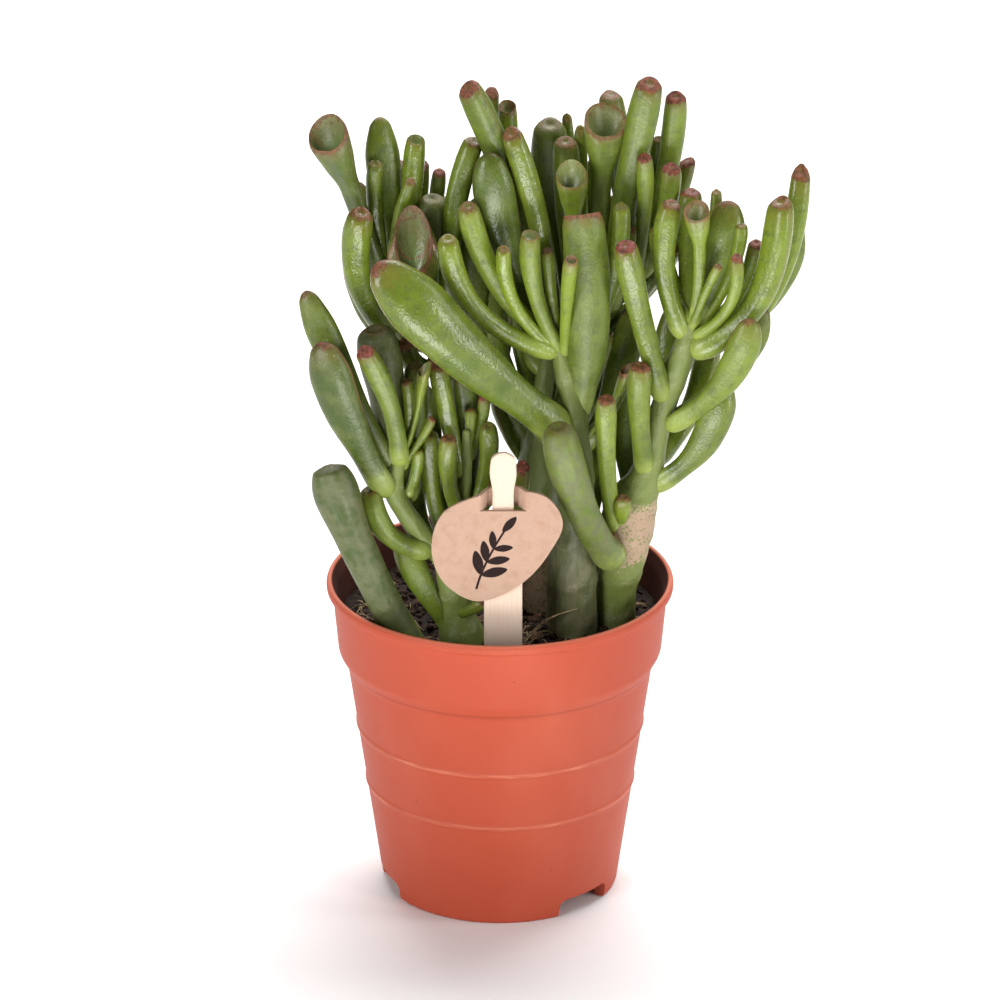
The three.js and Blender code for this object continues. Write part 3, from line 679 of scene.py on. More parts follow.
@dataclass(frozen=True)
class MouldedPlastic:
    """Satin terracotta-coloured plastic with flow marks, pale rubs on its rings, a painted highlight along the
    rim's top edge, and painted shade on the inner wall.
    """

    body: Color = (0.398, 0.060, 0.026)
    worn: Color = (0.640, 0.220, 0.135)
    dirt: Color = (0.170, 0.038, 0.022)
    inner_shade: Color = (0.022, 0.008, 0.005)
    cloud_size: float = 30 * MM
    scratch_size: float = 2.2 * MM
    grain_size: float = 0.5 * MM
    speck_size: float = 7 * MM
    # height of the painted highlight band along the rim's top edge
    rim_highlight_height: float = 0.7 * MM

    def material(self, pot: "Pot") -> Material:
        """Mixes the plastic.

        Args:
            pot: the pot, for the places of its rings, band and lip.

        Returns:
            The material.
        """
        p = Palette("moulded_plastic")
        x, y, height = p.split(p.place)
        clouds = p.noise(self.cloud_size, 4, p.stretched(1.0, 0.5))
        scratch = p.noise(self.scratch_size, 3, p.stretched(0.25, 3.0))
        grain = p.noise(self.grain_size)
        rubs = scratch.step(0.4, 0.7) * 0.5 + 0.1
        rings = [(abs(height - ring) / MM).step(0.7, 0.2) * rubs for ring in pot.rings]
        low = pot.band_radius - pot.wall
        slope = (pot.lip_radius - pot.lip_width - low) / (pot.height - pot.band_foot)
        wall = (x * x + y * y) ** 0.5 - (height - pot.band_foot) * slope - low
        # inside marks the wall's inner face from the shoulder up to the rim: where the painted inner shade
        # goes, and where the plastic is rougher.
        inside = wall.step(0.25 * MM, 0.05 * MM) * height.step(pot.height, pot.height - 0.6 * MM)
        inside = inside * height.step(pot.shoulder, pot.band_foot)
        specks = p.cells(self.speck_size).step(0.055, 0.03) * clouds.step(0.4, 0.55)
        body = p.coats(
            self.body,
            (self.worn, clouds.step(0.45, 0.8) * 0.14),
            *((self.worn, ring) for ring in rings),
            # painted shade: the inner wall above the soil is darkened to near black, standing for the shade
            # inside the pot.
            (self.inner_shade, inside * (0.8 + grain * 0.2)),
            # painted highlight: a pale band along the rim's top edge, broken by the scratches.
            (self.worn, height.step(pot.height - self.rim_highlight_height, pot.height) * (0.3 + scratch * 0.4)),
            (self.dirt, specks * 0.55),
        )
        normal = p.bumps((clouds, 0.25 * MM), (grain, 0.02 * MM))
        rough = 0.48 + scratch * 0.14 + inside * 0.3
        return p.finish(Base_Color=body, Roughness=rough, Normal=normal, Specular_IOR_Level=0.28)


@dataclass(frozen=True)
class PottingSoil:
    """Damp dark soil, or the crumbs, bark bits and fibres in it, by their own light and dark colours."""

    name: str
    dark: Color
    light: Color
    grain: float

    def material(self) -> Material:
        """Mixes the soil.

        Returns:
            The material.
        """
        p = Palette(self.name)
        clouds, fine = p.noise(4 * self.grain, 4), p.noise(self.grain, 3)
        body = p.mix(self.dark, self.light, (clouds * 0.6 + fine * 0.4).step(0.42, 0.72))
        normal = p.bumps((fine, 0.5 * self.grain))
        return p.finish(Base_Color=body, Roughness=0.72 + fine * 0.25, Normal=normal, Specular_IOR_Level=0.2)


@dataclass(frozen=True)
class Birch:
    """Smooth pale wood with fine upright grain and a few darker fibres."""

    pale: Color = srgb(214, 190, 171)
    grain: Color = srgb(200, 164, 136)
    line_size: float = 0.55 * MM
    band_size: float = 3 * MM
    fleck_size: float = 0.35 * MM

    def material(self) -> Material:
        """Mixes the wood.

        Returns:
            The material.
        """
        p = Palette("birch")
        lines = p.noise(self.line_size, 3, p.stretched(1.0, 0.035))
        bands = p.noise(self.band_size, 2, p.stretched(1.0, 0.06))
        flecks = p.noise(self.fleck_size, 1, p.stretched(1.0, 0.12))
        body = p.coats(
            self.pale,
            (self.grain, lines.step(0.45, 0.8) * 0.35 + bands.step(0.4, 0.8) * 0.2),
            (self.grain, flecks.step(0.66, 0.74) * 0.6),
        )
        normal = p.bumps((lines, 0.06 * MM))
        return p.finish(Base_Color=body, Roughness=0.55 + lines * 0.2, Normal=normal, Specular_IOR_Level=0.3)


@dataclass(frozen=True)
class KraftCard:
    """Matt kraft card with flecks and fibres, printed with a plain sprig."""

    pale: Color = srgb(174, 143, 123)
    fleck: Color = srgb(152, 112, 92)
    fibre: Color = srgb(206, 178, 158)
    ink: Color = srgb(30, 14, 11)
    cloud_size: float = 2.4 * MM
    fleck_size: float = 0.9 * MM
    grain_size: float = 0.35 * MM

    def material(self, sprig: "Sprig") -> Material:
        """Mixes the card.

        Args:
            sprig: the printed sprig.

        Returns:
            The material.
        """
        p = Palette("kraft_card")
        clouds, grain = p.noise(self.cloud_size, 4), p.noise(self.grain_size)
        flecks = p.cells(self.fleck_size)
        body = p.coats(
            self.pale,
            (self.fleck, clouds.step(0.45, 0.75) * 0.35 + flecks.step(0.2, 0.08) * 0.35),
            (self.fibre, grain.step(0.62, 0.78) * 0.5),
            (self.ink, sprig.mask(p) * grain.step(0.12, 0.3)),
        )
        normal = p.bumps((clouds, 0.12 * MM), (grain, 0.04 * MM))
        return p.finish(Base_Color=body, Roughness=0.82, Normal=normal, Specular_IOR_Level=0.25)


@dataclass(frozen=True)
class Sprig:
    """A plain printed sprig on the card's face: an arched stalk with pairs of leaves and one at its end."""

    foot: Pair = (-6.0 * MM, 95.5 * MM)
    tall: float = 17.5 * MM
    lean: float = 3.0 * MM
    arch: float = 5.0 * MM
    bend: float = 1.6
    stalk: float = 0.28 * MM
    leaf: Pair = (3.4 * MM, 1.35 * MM)
    pairs: int = 3
    first: float = 0.22
    span: float = 0.62
    shrink: float = 0.14
    spread: float = 44.0
    steep: float = 62
    bow: float = 20
    reach: float = 1.05
    end_step: float = 0.4 * MM
    end_angle: float = 50.0
    end_size: float = 0.8
    roundness: float = 1.6

    def leaves(self) -> list[tuple[float, float, float, float]]:
        """Sets the leaves, which shrink up the stalk.

        Returns:
            Centre, angle in degrees and size of each.
        """
        made = []
        for pair in range(self.pairs):
            share = self.first + self.span * pair / self.pairs
            size = 1 - self.shrink * pair
            x, z = self.at(share)
            for side in (-1, 1):
                angle = self.steep - self.bow * share + side * self.spread
                reach = self.reach * size * self.leaf[0]
                turn = np.radians(angle)
                made.append((x + reach * np.cos(turn), z + reach * np.sin(turn), angle, size))
        x, z = self.at(1.0)
        return made + [(x + self.end_step, z + self.end_step, self.end_angle, self.end_size)]

    def at(self, share: float) -> Pair:
        """The stalk's place at a share of its height."""
        x = self.foot[0] + self.arch * share**self.bend + self.lean * share
        return x, self.foot[1] + self.tall * share

    def mask(self, p: Palette) -> Tone:
        """Marks the sprig on the card's front alone. Each leaf is a superellipse turned by its angle.

        Args:
            p: the card's palette.

        Returns:
            1 on the sprig and 0 off it.
        """
        x, y, z = p.split(p.place)
        share = (z - self.foot[1]) / self.tall
        middle = share.most(0.0) ** self.bend * self.arch + share * self.lean + self.foot[0]
        on = abs(x - middle).step(self.stalk * 1.25, self.stalk)
        on = on * share.step(-0.01, 0.01) * share.step(1.01, 0.99)
        for cx, cz, angle, size in self.leaves():
            cosine, sine = float(np.cos(np.radians(angle))), float(np.sin(np.radians(angle)))
            long = ((x - cx) * cosine + (z - cz) * sine) / (size * self.leaf[0])
            wide = ((z - cz) * cosine - (x - cx) * sine) / (size * self.leaf[1])
            on = on.most((abs(long) ** self.roundness + abs(wide) ** self.roundness).step(1.06, 0.94))
        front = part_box("tag_card")[0][1]
        return on * y.step(front + 0.35 * MM, front + 0.25 * MM)


class Form(NamedTuple):
    """A leaf's form: thickness over width, cup of the long edges, slant of the mouth, depth of its dish over
    the length, groove along the upper face, and stations as rows of share of the length and of the
    half-width."""

    thick: float
    cup: float
    slant: float
    dish: float
    groove: float
    stations: Sequence[Pair]


class Kind(Enum):
    """The kinds of leaf, each with its form."""

    CLUB = Form(0.86, 0.03, 0.03, 0.0, 0.07, ((0, 0.76), (0.4, 0.82), (0.86, 1), (0.97, 0.78)))
    BULB = Form(0.86, 0, 0, 0.0, 0.12, ((0, 0.72), (0.42, 0.76), (0.58, 0.8), (0.8, 1), (0.96, 0.74)))
    PADDLE = Form(0.64, 0.04, 0, 0.0, 0.02, ((0, 0.54), (0.3, 0.62), (0.56, 0.87), (0.78, 1), (0.95, 0.64)))
    TRUMPET = Form(0.72, 0.1, 0.12, 0.1, 0.08, ((0, 0.44), (0.66, 0.48), (0.87, 0.86), (1, 1)))
    SPOON = Form(0.62, 0.2, 0.4, 0.14, 0.0, ((0, 0.42), (0.3, 0.6), (0.6, 0.9), (0.85, 1), (1, 0.72)))
    LOBED = Form(0.5, 0.1, 0.02, 0.04, 0.1, ((0, 0.5), (0.35, 0.84), (0.65, 1), (0.95, 0.94), (1, 0.84)))
    STUB = Form(0.86, 0, 0.04, 0.04, 0.05, ((0, 0.62), (0.4, 0.76), (0.9, 1), (1, 0.84)))


@dataclass
class Leaf:
    """One leaf on a parabola through its root, middle and tip.

    Its ends are rows. Of the root: place over slimness, share of the first half-width, share of the length.
    Of a dish: share of its depth and how far out. Of a round tip: distance from the end as a share of the
    length, half-width and how far out. Of a worn tip: the same, with the distance over slimness. A worn
    tip's wall turns in at worn_from over slimness, and its edge is distance over slimness, half-width,
    share of the length and how far out.
    """

    kind: Kind
    width: float
    face: float
    root: Array
    middle: Array
    tip: Array
    tone: float = 0.5
    redness: float = 0.7
    dull: float = 0.4
    phase: float = 0.0

    rings: int = 42
    slant_from: float = 0.4
    root_end: Sequence[Row] = ((0.0, 0.0, 0.0), (0.12, 0.6, 0.0), (0.4, 0.92, 0.02), (0.9, 1.0, 0.05))
    dish_end: Sequence[Row] = ((0.0, 0.93), (0.12, 0.86), (0.5, 0.72), (0.85, 0.42), (1.0, 0.0))
    round_end: Sequence[Row] = ((0.015, 0.36, 1.0), (0.002, 0.14, 1.0), (0.0, 0.0, 0.0))
    worn_end: Sequence[Row] = (
        (0.08, 0.6, 1.0), (0.0, 0.42, 1.0), (0.05, 0.3, 0.7), (0.12, 0.14, 0.33), (0.14, 0.0, 0.0),
    )
    worn_from: float = 1.1
    worn_edge: Row = (0.36, 0.86, 0.985, 1.0)
    lip: float = 0.12
    heel: float = 0.12
    heel_at: float = 0.1
    heel_width: float = 0.07
    wave: float = 0.016
    wave_in: Pair = (0.05, 0.3)
    groove_width: float = 0.32
    groove_in: Pair = (0.1, 0.4)
    paddle_rim: float = 0.6
    faint_edge: float = 0.25

    @classmethod
    def of(cls, row: Row) -> "Leaf":
        """A leaf from a row of kind, width, face angle, root, middle and tip in millimetres."""
        kind, width, face, *places = row
        return cls(Kind[kind], width * MM, face, *(np.array(place, float) * MM for place in places))

    def length(self) -> float:
        """The straight distance from the root to the tip."""
        return float(np.linalg.norm(self.tip - self.root))

    def control(self) -> Array:
        """The parabola's control point."""
        return 2 * self.middle - 0.5 * (self.root + self.tip)

    def place(self, share: Array) -> Array:
        """The mid-line's points at shares of it."""
        t = share[..., None]
        return self.root * (1 - t) ** 2 + 2 * self.control() * t * (1 - t) + self.tip * t**2

    def ahead(self, share: Array) -> Array:
        """The mid-line's directions at shares of it."""
        t = np.clip(share, 0, 1)[..., None]
        return unit((self.control() - self.root) * (1 - t) + (self.tip - self.control()) * t)

    def profile(self) -> Array:
        """The outline from the root's pole to the pole at the tip or in the dish.

        Returns:
            Rows of place along the mid-line, half-width, share of the length, and how far out from the
            mouth's middle, the last three as shares.
        """
        form = self.kind.value
        slim = 0.5 * self.width / self.length()
        first, last = form.stations[0][1], form.stations[-1][1]
        base = [(at * slim, half * first, share, float(half > 0)) for at, half, share in self.root_end]
        wall = [(share, half, share, 1.0) for share, half in form.stations[1:]]
        if form.dish:
            wall[-1] = (1 - self.lip * slim, last, 1.0, 1.0)
            end = [(1 - form.dish * deep, last * out, 1.0, out) for deep, out in self.dish_end]
        elif self.kind in (Kind.PADDLE, Kind.BULB):
            end = [(1 - off, half, 1.0, out) for off, half, out in self.round_end]
        else:
            off, *edge = self.worn_edge
            wall[-2] = (min(wall[-2][0], 1 - self.worn_from * slim), *wall[-2][1:])
            wall[-1] = (1 - off * slim, *edge)
            end = [(1 - off * slim, half, 1.0, out) for off, half, out in self.worn_end]
        rows = np.array([*base, *wall, *end])
        rows[:, 0] /= slim
        path = through(rows, self.rings, measured=2, crowd=1.25, calm=True)
        path[:, 0] *= slim
        return path

    def sides(self) -> int:
        """More sides round a wider leaf."""
        return int(np.clip(2 * round(self.width / MM + 9), 22, 40))

    def grow(self, skin: Skin) -> None:
        """Adds the leaf's surface to a skin.

        A ring point at a turn lies across by the half-width times the cosine, and up by the half-width times
        thickness times the sine plus cup times the squared cosine, less a groove that is deepest where the
        upper face looks straight up. The heel by the root is thicker, and two slow waves swell the leaf.

        Args:
            skin: what it is added to.
        """
        form = self.kind.value
        path = self.profile()
        along, half, share, out = (column[:, None] for column in path[1:-1].T)
        turn = turns(self.sides())
        sine, cosine = np.sin(turn), np.cos(turn)
        slant = 0.5 * form.slant * smoothstep(share, self.slant_from, 1)
        at = along - slant * (1 + out * sine)
        ahead = self.ahead(at)
        toward = heading(self.face)
        up = unit(toward - (ahead @ toward)[..., None] * ahead)
        across = np.cross(up, ahead)
        waves = np.sin(3 * turn + 9 * share + self.phase) + np.sin(2 * turn - 15 * share + 2 * self.phase) - 2
        heel = self.heel * np.exp(-(((along - self.heel_at) / self.heel_width) ** 2))
        reach = 0.5 * self.width * half * (1 + heel + self.wave * waves * smoothstep(share, *self.wave_in))
        groove = form.groove * np.exp(-((cosine / self.groove_width) ** 2)) * (sine > 0)
        groove = groove * smoothstep(share, *self.groove_in) * out
        lift = form.thick * sine + form.cup * cosine**2 - groove
        rings = self.place(at) + across * (reach * cosine)[..., None] + up * (reach * lift)[..., None]
        poles = self.place(path[[0, -1], 0] - np.array([0.0, slant[-1, 0]]))
        mouth = 0.5 * self.width * float(half[out > 0.999][-1])
        stretch = self.paddle_rim if self.kind is Kind.PADDLE else 1.0
        outside = (1 - along) * self.length() * stretch
        rim = np.where((share >= 1) & (out < 1), (out - 1) * mouth, outside) / MM
        edge = 1.0 if self.kind in (Kind.PADDLE, Kind.SPOON) else self.faint_edge
        skin.tube(
            rings,
            *poles,
            grow=stacked(at.shape, share, rim, sine),
            leaf=stacked(at.shape, self.tone, self.redness, edge),
            mouth=stacked(at.shape, out, float(form.dish > 0), self.dull),
            stem=np.zeros_like(rings),
        )

    def balls(self, start: float, count: int, size: float) -> tuple[Array, Array]:
        """Balls that stand for the leaf from a share of its length on: their centres and their radii."""
        return self.place(np.linspace(start, 1, count)), np.full(count, size * self.width)


@dataclass
class Stem:
    """A stem as rows of x, y, z and radius in mm. cork and olive are heights in mm: cork covers it between
    two of them, and it turns olive downwards from one to the other."""

    rows: Sequence[Row]
    cork: Pair = (0, 1)
    olive: Pair = (60, 105)
    joint: float = 11 * MM
    ridge: float = 0.045
    nick: float = 0.02
    waver: float = 0.8 * MM
    lumps: Pair = (0.02, 0.015)
    cap: float = 0.6
    fade: Pair = (4, 3)
    steps: int = 18
    sides: int = 40

    def at(self, share: float) -> Array:
        """Finds a place along the straight lines between the rows.

        Args:
            share: a share of the rows.

        Returns:
            The place.
        """
        places = np.array(self.rows, float)[:, :3] * MM
        step = min(int(share * (len(places) - 1)), len(places) - 2)
        return places[step] + (places[step + 1] - places[step]) * (share * (len(places) - 1) - step)

    def balls(self, count: int, size: float) -> tuple[Array, Array]:
        """Balls that stand for the stem: their centres and their radii."""
        centres = np.stack([self.at(share) for share in np.linspace(0, 1, count)])
        return centres, np.full(count, size * self.rows[0][3] * MM)

    def grow(self, skin: Skin) -> None:
        """Adds the stem's surface to a skin: circles along a smooth path through the rows.

        The radius is swollen by a beat, the size of a cosine along the length: its tenth power gives the
        ridge at a joint, and its eightieth the nick on top of the ridge. Two slow waves add lumps.

        Args:
            skin: what it is added to.
        """
        path = through(self.rows, self.steps * len(self.rows), measured=3) * MM
        centre, radius = path[:, :3], path[:, 3:]
        ahead = unit(np.gradient(centre, axis=0))
        side = unit(np.array([1.0, 0.0, 0.0]) - ahead[:, :1] * ahead)
        length = lengths(centre)[:, None]
        turn = turns(self.sides)
        beat = np.abs(np.cos(np.pi * (length + self.waver * np.sin(2 * turn)) / self.joint))
        slow, quick = self.lumps
        lumps = slow * np.sin(3 * turn + 400 * length) + quick * np.sin(5 * turn - 900 * length)
        rings = hoops(centre, side, radius * (1 + self.ridge * beat**10 - self.nick * beat**80 + lumps), turn)
        height = rings[..., 2] / MM
        low, high = self.cork
        far, close = self.fade
        cork = smoothstep(height, low - far, low + close) * (1 - smoothstep(height, high - close, high + far))
        stem = stacked(height.shape, cork, 1 - smoothstep(height, *self.olive), beat**30)
        none = np.zeros_like(stem)
        end = centre[-1] + ahead[-1] * self.cap * radius[-1]
        skin.tube(rings, centre[0], end, 1, grow=none, leaf=none, mouth=none, stem=stem)


@dataclass
class HiddenRule:
    """How leaves that the front hides are set: in opposite pairs up a stem, a quarter turn from pair to pair,
    each turned until it clears all that stands already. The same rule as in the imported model, with the same
    draws."""

    kinds: Sequence[str] = ("CLUB", "TRUMPET", "CLUB", "PADDLE", "STUB")
    turns: Sequence[float] = (0, 18, -18, 36, -36, 54, -54, 72, -72)
    scatter: Pair = (-18, 18)
    length: Pair = (0.8, 1.15)
    width: Pair = (0.75, 1.25)
    rise: Pair = (38, 72)
    rise_scatter: Pair = (-8, 8)
    middle: Pair = (0.6, 0.42)
    leaf_balls: tuple[int, float] = (10, 0.36)
    stem_balls: tuple[int, float] = (30, 0.5)
    stands_from: float = 0.2
    tested_from: float = 0.5
    state: int = 4127
    factor: int = 16807
    modulus: int = 2147483647
    centres: list[Array] = field(default_factory=list)
    radii: list[Array] = field(default_factory=list)

    def draw(self, ends: Pair) -> float:
        """Draws by the common minimal generator.

        Args:
            ends: two values.

        Returns:
            An even draw between them.
        """
        self.state = self.state * self.factor % self.modulus
        share = self.state / self.modulus
        return (1 - share) * ends[0] + share * ends[1]

    def stand(self, balls: tuple[Array, Array]) -> None:
        """Adds balls that later leaves keep clear of."""
        self.centres.append(balls[0])
        self.radii.append(balls[1])

    def clear(self, leaf: Leaf) -> bool:
        """Tests a leaf's outer part.

        Args:
            leaf: the leaf.

        Returns:
            Whether it clears all that stands.
        """
        centres, radii = leaf.balls(self.tested_from, *self.leaf_balls)
        others, sizes = np.concatenate(self.centres), np.concatenate(self.radii)
        far = np.linalg.norm(centres[:, None] - others[None], axis=-1)
        return bool((far > radii[:, None] + sizes[None]).all())

    def leaf(self, kind: str, width: float, root: Array, angle: float, reach: float, rise: float) -> Leaf:
        """Bows a leaf out and up from a root.

        Args:
            kind: the name of its kind.
            width: its width.
            root: where it starts.
            angle: the compass angle that it points to.
            reach: its length.
            rise: its slope in radians.

        Returns:
            The leaf.
        """
        out = heading(angle) * reach * np.cos(rise)
        up = np.array([0, 0, reach * np.sin(rise)])
        middle = root + out * self.middle[0] + up * self.middle[1]
        return Leaf(Kind[kind], width, angle + 180, root, middle, root + out + up)

    def leaves(self, stems: Sequence[Stem], rows: Iterable[Row]) -> list[Leaf]:
        """The hidden leaves of one plant.

        Args:
            stems: its stems.
            rows: stem, shares from and to, pairs, first angle, length and width in mm, and half the sector at
                the back that they may point to.

        Returns:
            The leaves that found a clear place.
        """
        made = []
        for index, start, end, pairs, first, longest, widest, sector in rows:
            for count in range(2 * pairs):
                pair = count // 2
                along = pair / (pairs - 1)
                share = (1 - along) * start + along * end
                begin = first + 90 * pair + 180 * (count % 2) + self.draw(self.scatter)
                reach = longest * MM * self.draw(self.length)
                slope = (1 - share) * self.rise[0] + share * self.rise[1] + self.draw(self.rise_scatter)
                width = widest * MM * self.draw(self.width)
                kind = self.kinds[(count + pair + index) % len(self.kinds)]
                root = stems[index].at(share)
                limit = np.cos(np.radians(sector))
                angles = [begin + t for t in self.turns if np.cos(np.radians(begin + t - 180)) >= limit]
                options = (self.leaf(kind, width, root, a, reach, np.radians(slope)) for a in angles)
                leaf = next((option for option in options if self.clear(option)), None)
                if leaf:
                    made.append(leaf)
                    self.stand(leaf.balls(self.stands_from, *self.leaf_balls))
        return made


@dataclass
class Plant:
    """Stems and leaves that stand for one node."""

    node: str
    stems: Sequence[Stem]
    rows: Sequence[Row]
    hidden: Sequence[Row] = ()
    tone: float = 0.5
    redness: Pair = (0.15, 1.0)
    usual_width: float = 9 * MM
    width_range: float = 6 * MM
    broad: float = 15 * MM
    leaves: list[Leaf] = field(default_factory=list)

    def __post_init__(self) -> None:
        """Reads the rows of leaves."""
        self.leaves = [Leaf.of(row) for row in self.rows]

    def stand(self, rule: HiddenRule) -> None:
        """Adds the balls of the stems and of the leaves in front to a rule.

        Args:
            rule: the rule.
        """
        for stem in self.stems:
            rule.stand(stem.balls(*rule.stem_balls))
        for leaf in self.leaves:
            rule.stand(leaf.balls(rule.stands_from, *rule.leaf_balls))

    def age(self, leaf: Leaf, chance: np.random.Generator) -> None:
        """Draws a leaf's tone, redness, phase and dullness. A slim leaf is a young one, so it is brighter.

        Then a broad leaf is reddened and shines, and a paddle is less red and duller. A thick club and a bulb
        are dull with dust, and a lobed leaf is dull.

        Args:
            leaf: the leaf.
            chance: where the draws come from.
        """
        slimness = float(np.clip((self.usual_width - leaf.width) / self.width_range, -0.8, 1))
        leaf.tone = float(np.clip(self.tone + 0.3 * slimness + chance.uniform(-0.16, 0.16), 0, 1))
        leaf.redness = float(chance.uniform(*self.redness))
        leaf.phase = float(chance.uniform(0, 2 * np.pi))
        leaf.dull = float(chance.uniform(0, 0.8))
        if leaf.width > self.broad:
            leaf.redness = max(leaf.redness, 0.7)
            leaf.dull *= 0.25
        elif leaf.kind is Kind.PADDLE:
            leaf.redness *= 0.6
            leaf.dull = 0.25 + 0.6 * leaf.dull
        elif leaf.kind is Kind.CLUB and leaf.width > self.usual_width:
            leaf.redness *= 0.2
            leaf.dull = 1.0
        elif leaf.kind is Kind.BULB:
            leaf.dull = 1.0
        elif leaf.kind is Kind.LOBED:
            leaf.dull = 0.8

    def build(self, rule: HiddenRule, finishes: Sequence[Material]) -> Piece:
        """Grows all stems and leaves into one piece.

        Args:
            rule: the rule that sets the hidden leaves.
            finishes: the leaf skin and the stem skin.

        Returns:
            The piece.
        """
        self.leaves += rule.leaves(self.stems, self.hidden)
        chance = np.random.default_rng(len(self.node) + len(self.leaves))
        skin = Skin()
        for stem in self.stems:
            stem.grow(skin)
        for leaf in self.leaves:
            self.age(leaf, chance)
            leaf.grow(skin)
        return skin.piece(self.node + "_skin", finishes, self.node, crease=75)


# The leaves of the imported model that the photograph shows, as rows of kind, width, compass angle that the
# upper face looks to, root, middle and tip, in mm.
LEFT_LEAVES = (
    ("PADDLE", 11.8, -15, (-28, -20, 116), (-38, -23, 137), (-45, -24, 160)),
    ("PADDLE", 8.6, 0, (-27, -17.5, 122), (-39, -16.5, 146), (-49.2, -15.5, 170.5)),
    ("CLUB", 6, 0, (-25.5, -19, 124), (-28, -21.5, 142), (-34.8, -23, 158)),
    ("CLUB", 6.8, -20, (-17, -20, 101), (-28.6, -22, 106.5), (-33.2, -20.5, 119)),
    ("PADDLE", 7.8, 0, (-12, -20, 78), (-19, -20.5, 90), (-26, -16.5, 104)),
    ("CLUB", 3.4, 0, (-12, -21, 83), (-8, -24, 86), (-4, -26, 89)),
    ("CLUB", 2.8, 90, (-25, -18, 124), (-20, -18, 131), (-17, -18, 137)),
    ("CLUB", 3.6, 0, (-24, -18, 115), (-21.5, -17, 121), (-21, -17, 128)),
    ("CLUB", 3.4, 0, (-25, -17, 122), (-23, -15, 134), (-24, -14, 146)),
    ("CLUB", 7, 0, (-24, -15, 112), (-22, -10, 129), (-21.5, -8, 148)),
    ("CLUB", 11.4, 0, (-26.5, -16, 121), (-29, -11, 141), (-32, -9, 158)),
    ("CLUB", 5.4, 0, (-10, -13, 118), (-13, -12, 133), (-16, -12, 150)),
    ("CLUB", 5, 0, (-10, -14, 108), (-13, -17, 119), (-13, -17.5, 132)),
    ("CLUB", 5.6, 0, (-13, -15.5, 99), (-17, -13, 114), (-18, -12, 131)),
    ("CLUB", 5.6, 0, (-14, -15, 97), (-21, -9, 107), (-21, -6, 126)),
    ("CLUB", 5.2, 0, (-9.5, -13, 105), (-4, -12, 117), (-3, -12, 133)),
    ("CLUB", 3.2, 0, (-8.6, -12.5, 124), (-7.6, -11, 131), (-7.5, -10, 136)),
    ("CLUB", 3.4, 0, (-8.6, -12, 122), (-5, -9, 131), (-4, -8, 139)),
    ("CLUB", 4.6, 0, (-9.5, -14, 103), (2, -15, 109), (5.7, -16, 124)),
    ("CLUB", 6.6, 10, (-9.5, -12, 106), (-8, -6.5, 124), (-10, -5, 145)),
    ("PADDLE", 7.4, -10, (-10.5, -12, 104), (-17, -7, 122), (-19.5, -5, 141)),
    ("CLUB", 6, 20, (-13, -16, 96), (-24, -9, 106), (-29, -6, 124)),
)
MIDDLE_LEAVES = (
    ("PADDLE", 16.2, 25, (18, -13, 130), (-6, -22, 153.5), (-31.3, -25, 181.5)),
    ("CLUB", 6.4, 0, (15, -9, 151), (-5.7, -13, 164), (-13.2, -14, 185)),
    ("CLUB", 6.4, 0, (14.5, -8, 152), (-1, -8, 170), (-8.2, -8, 191.5)),
    ("CLUB", 4.2, 0, (14.5, -9, 151), (3.5, -12, 166), (1, -14, 182)),
    ("STUB", 5.6, 0, (15.5, -9, 151), (9, -11, 168), (7.7, -12, 185)),
    ("CLUB", 3.6, 0, (15, -7.5, 151), (13, -6, 166), (12, -5, 178)),
    ("LOBED", 11.8, 180, (19.5, -12, 134), (22.4, -11.5, 160), (20.6, -10, 190)),
    ("STUB", 4, 0, (16.5, -9.5, 150), (16.8, -14.5, 166), (18, -19, 181)),
    ("CLUB", 5.2, 0, (18.5, -9, 146), (28, -6.5, 168), (30.6, -4, 190)),
    ("CLUB", 3, 0, (17, -8, 149), (29, -3, 166), (33.4, 0, 182)),
    ("PADDLE", 8.6, 0, (20, -10, 124), (29, -1, 137), (33.5, 4, 158)),
    ("CLUB", 7, 0, (20, -8, 112), (25.5, 3, 126), (27, 9, 146)),
    ("CLUB", 6, 0, (21, -10, 100), (25, -4, 114), (27, -1, 132)),
)
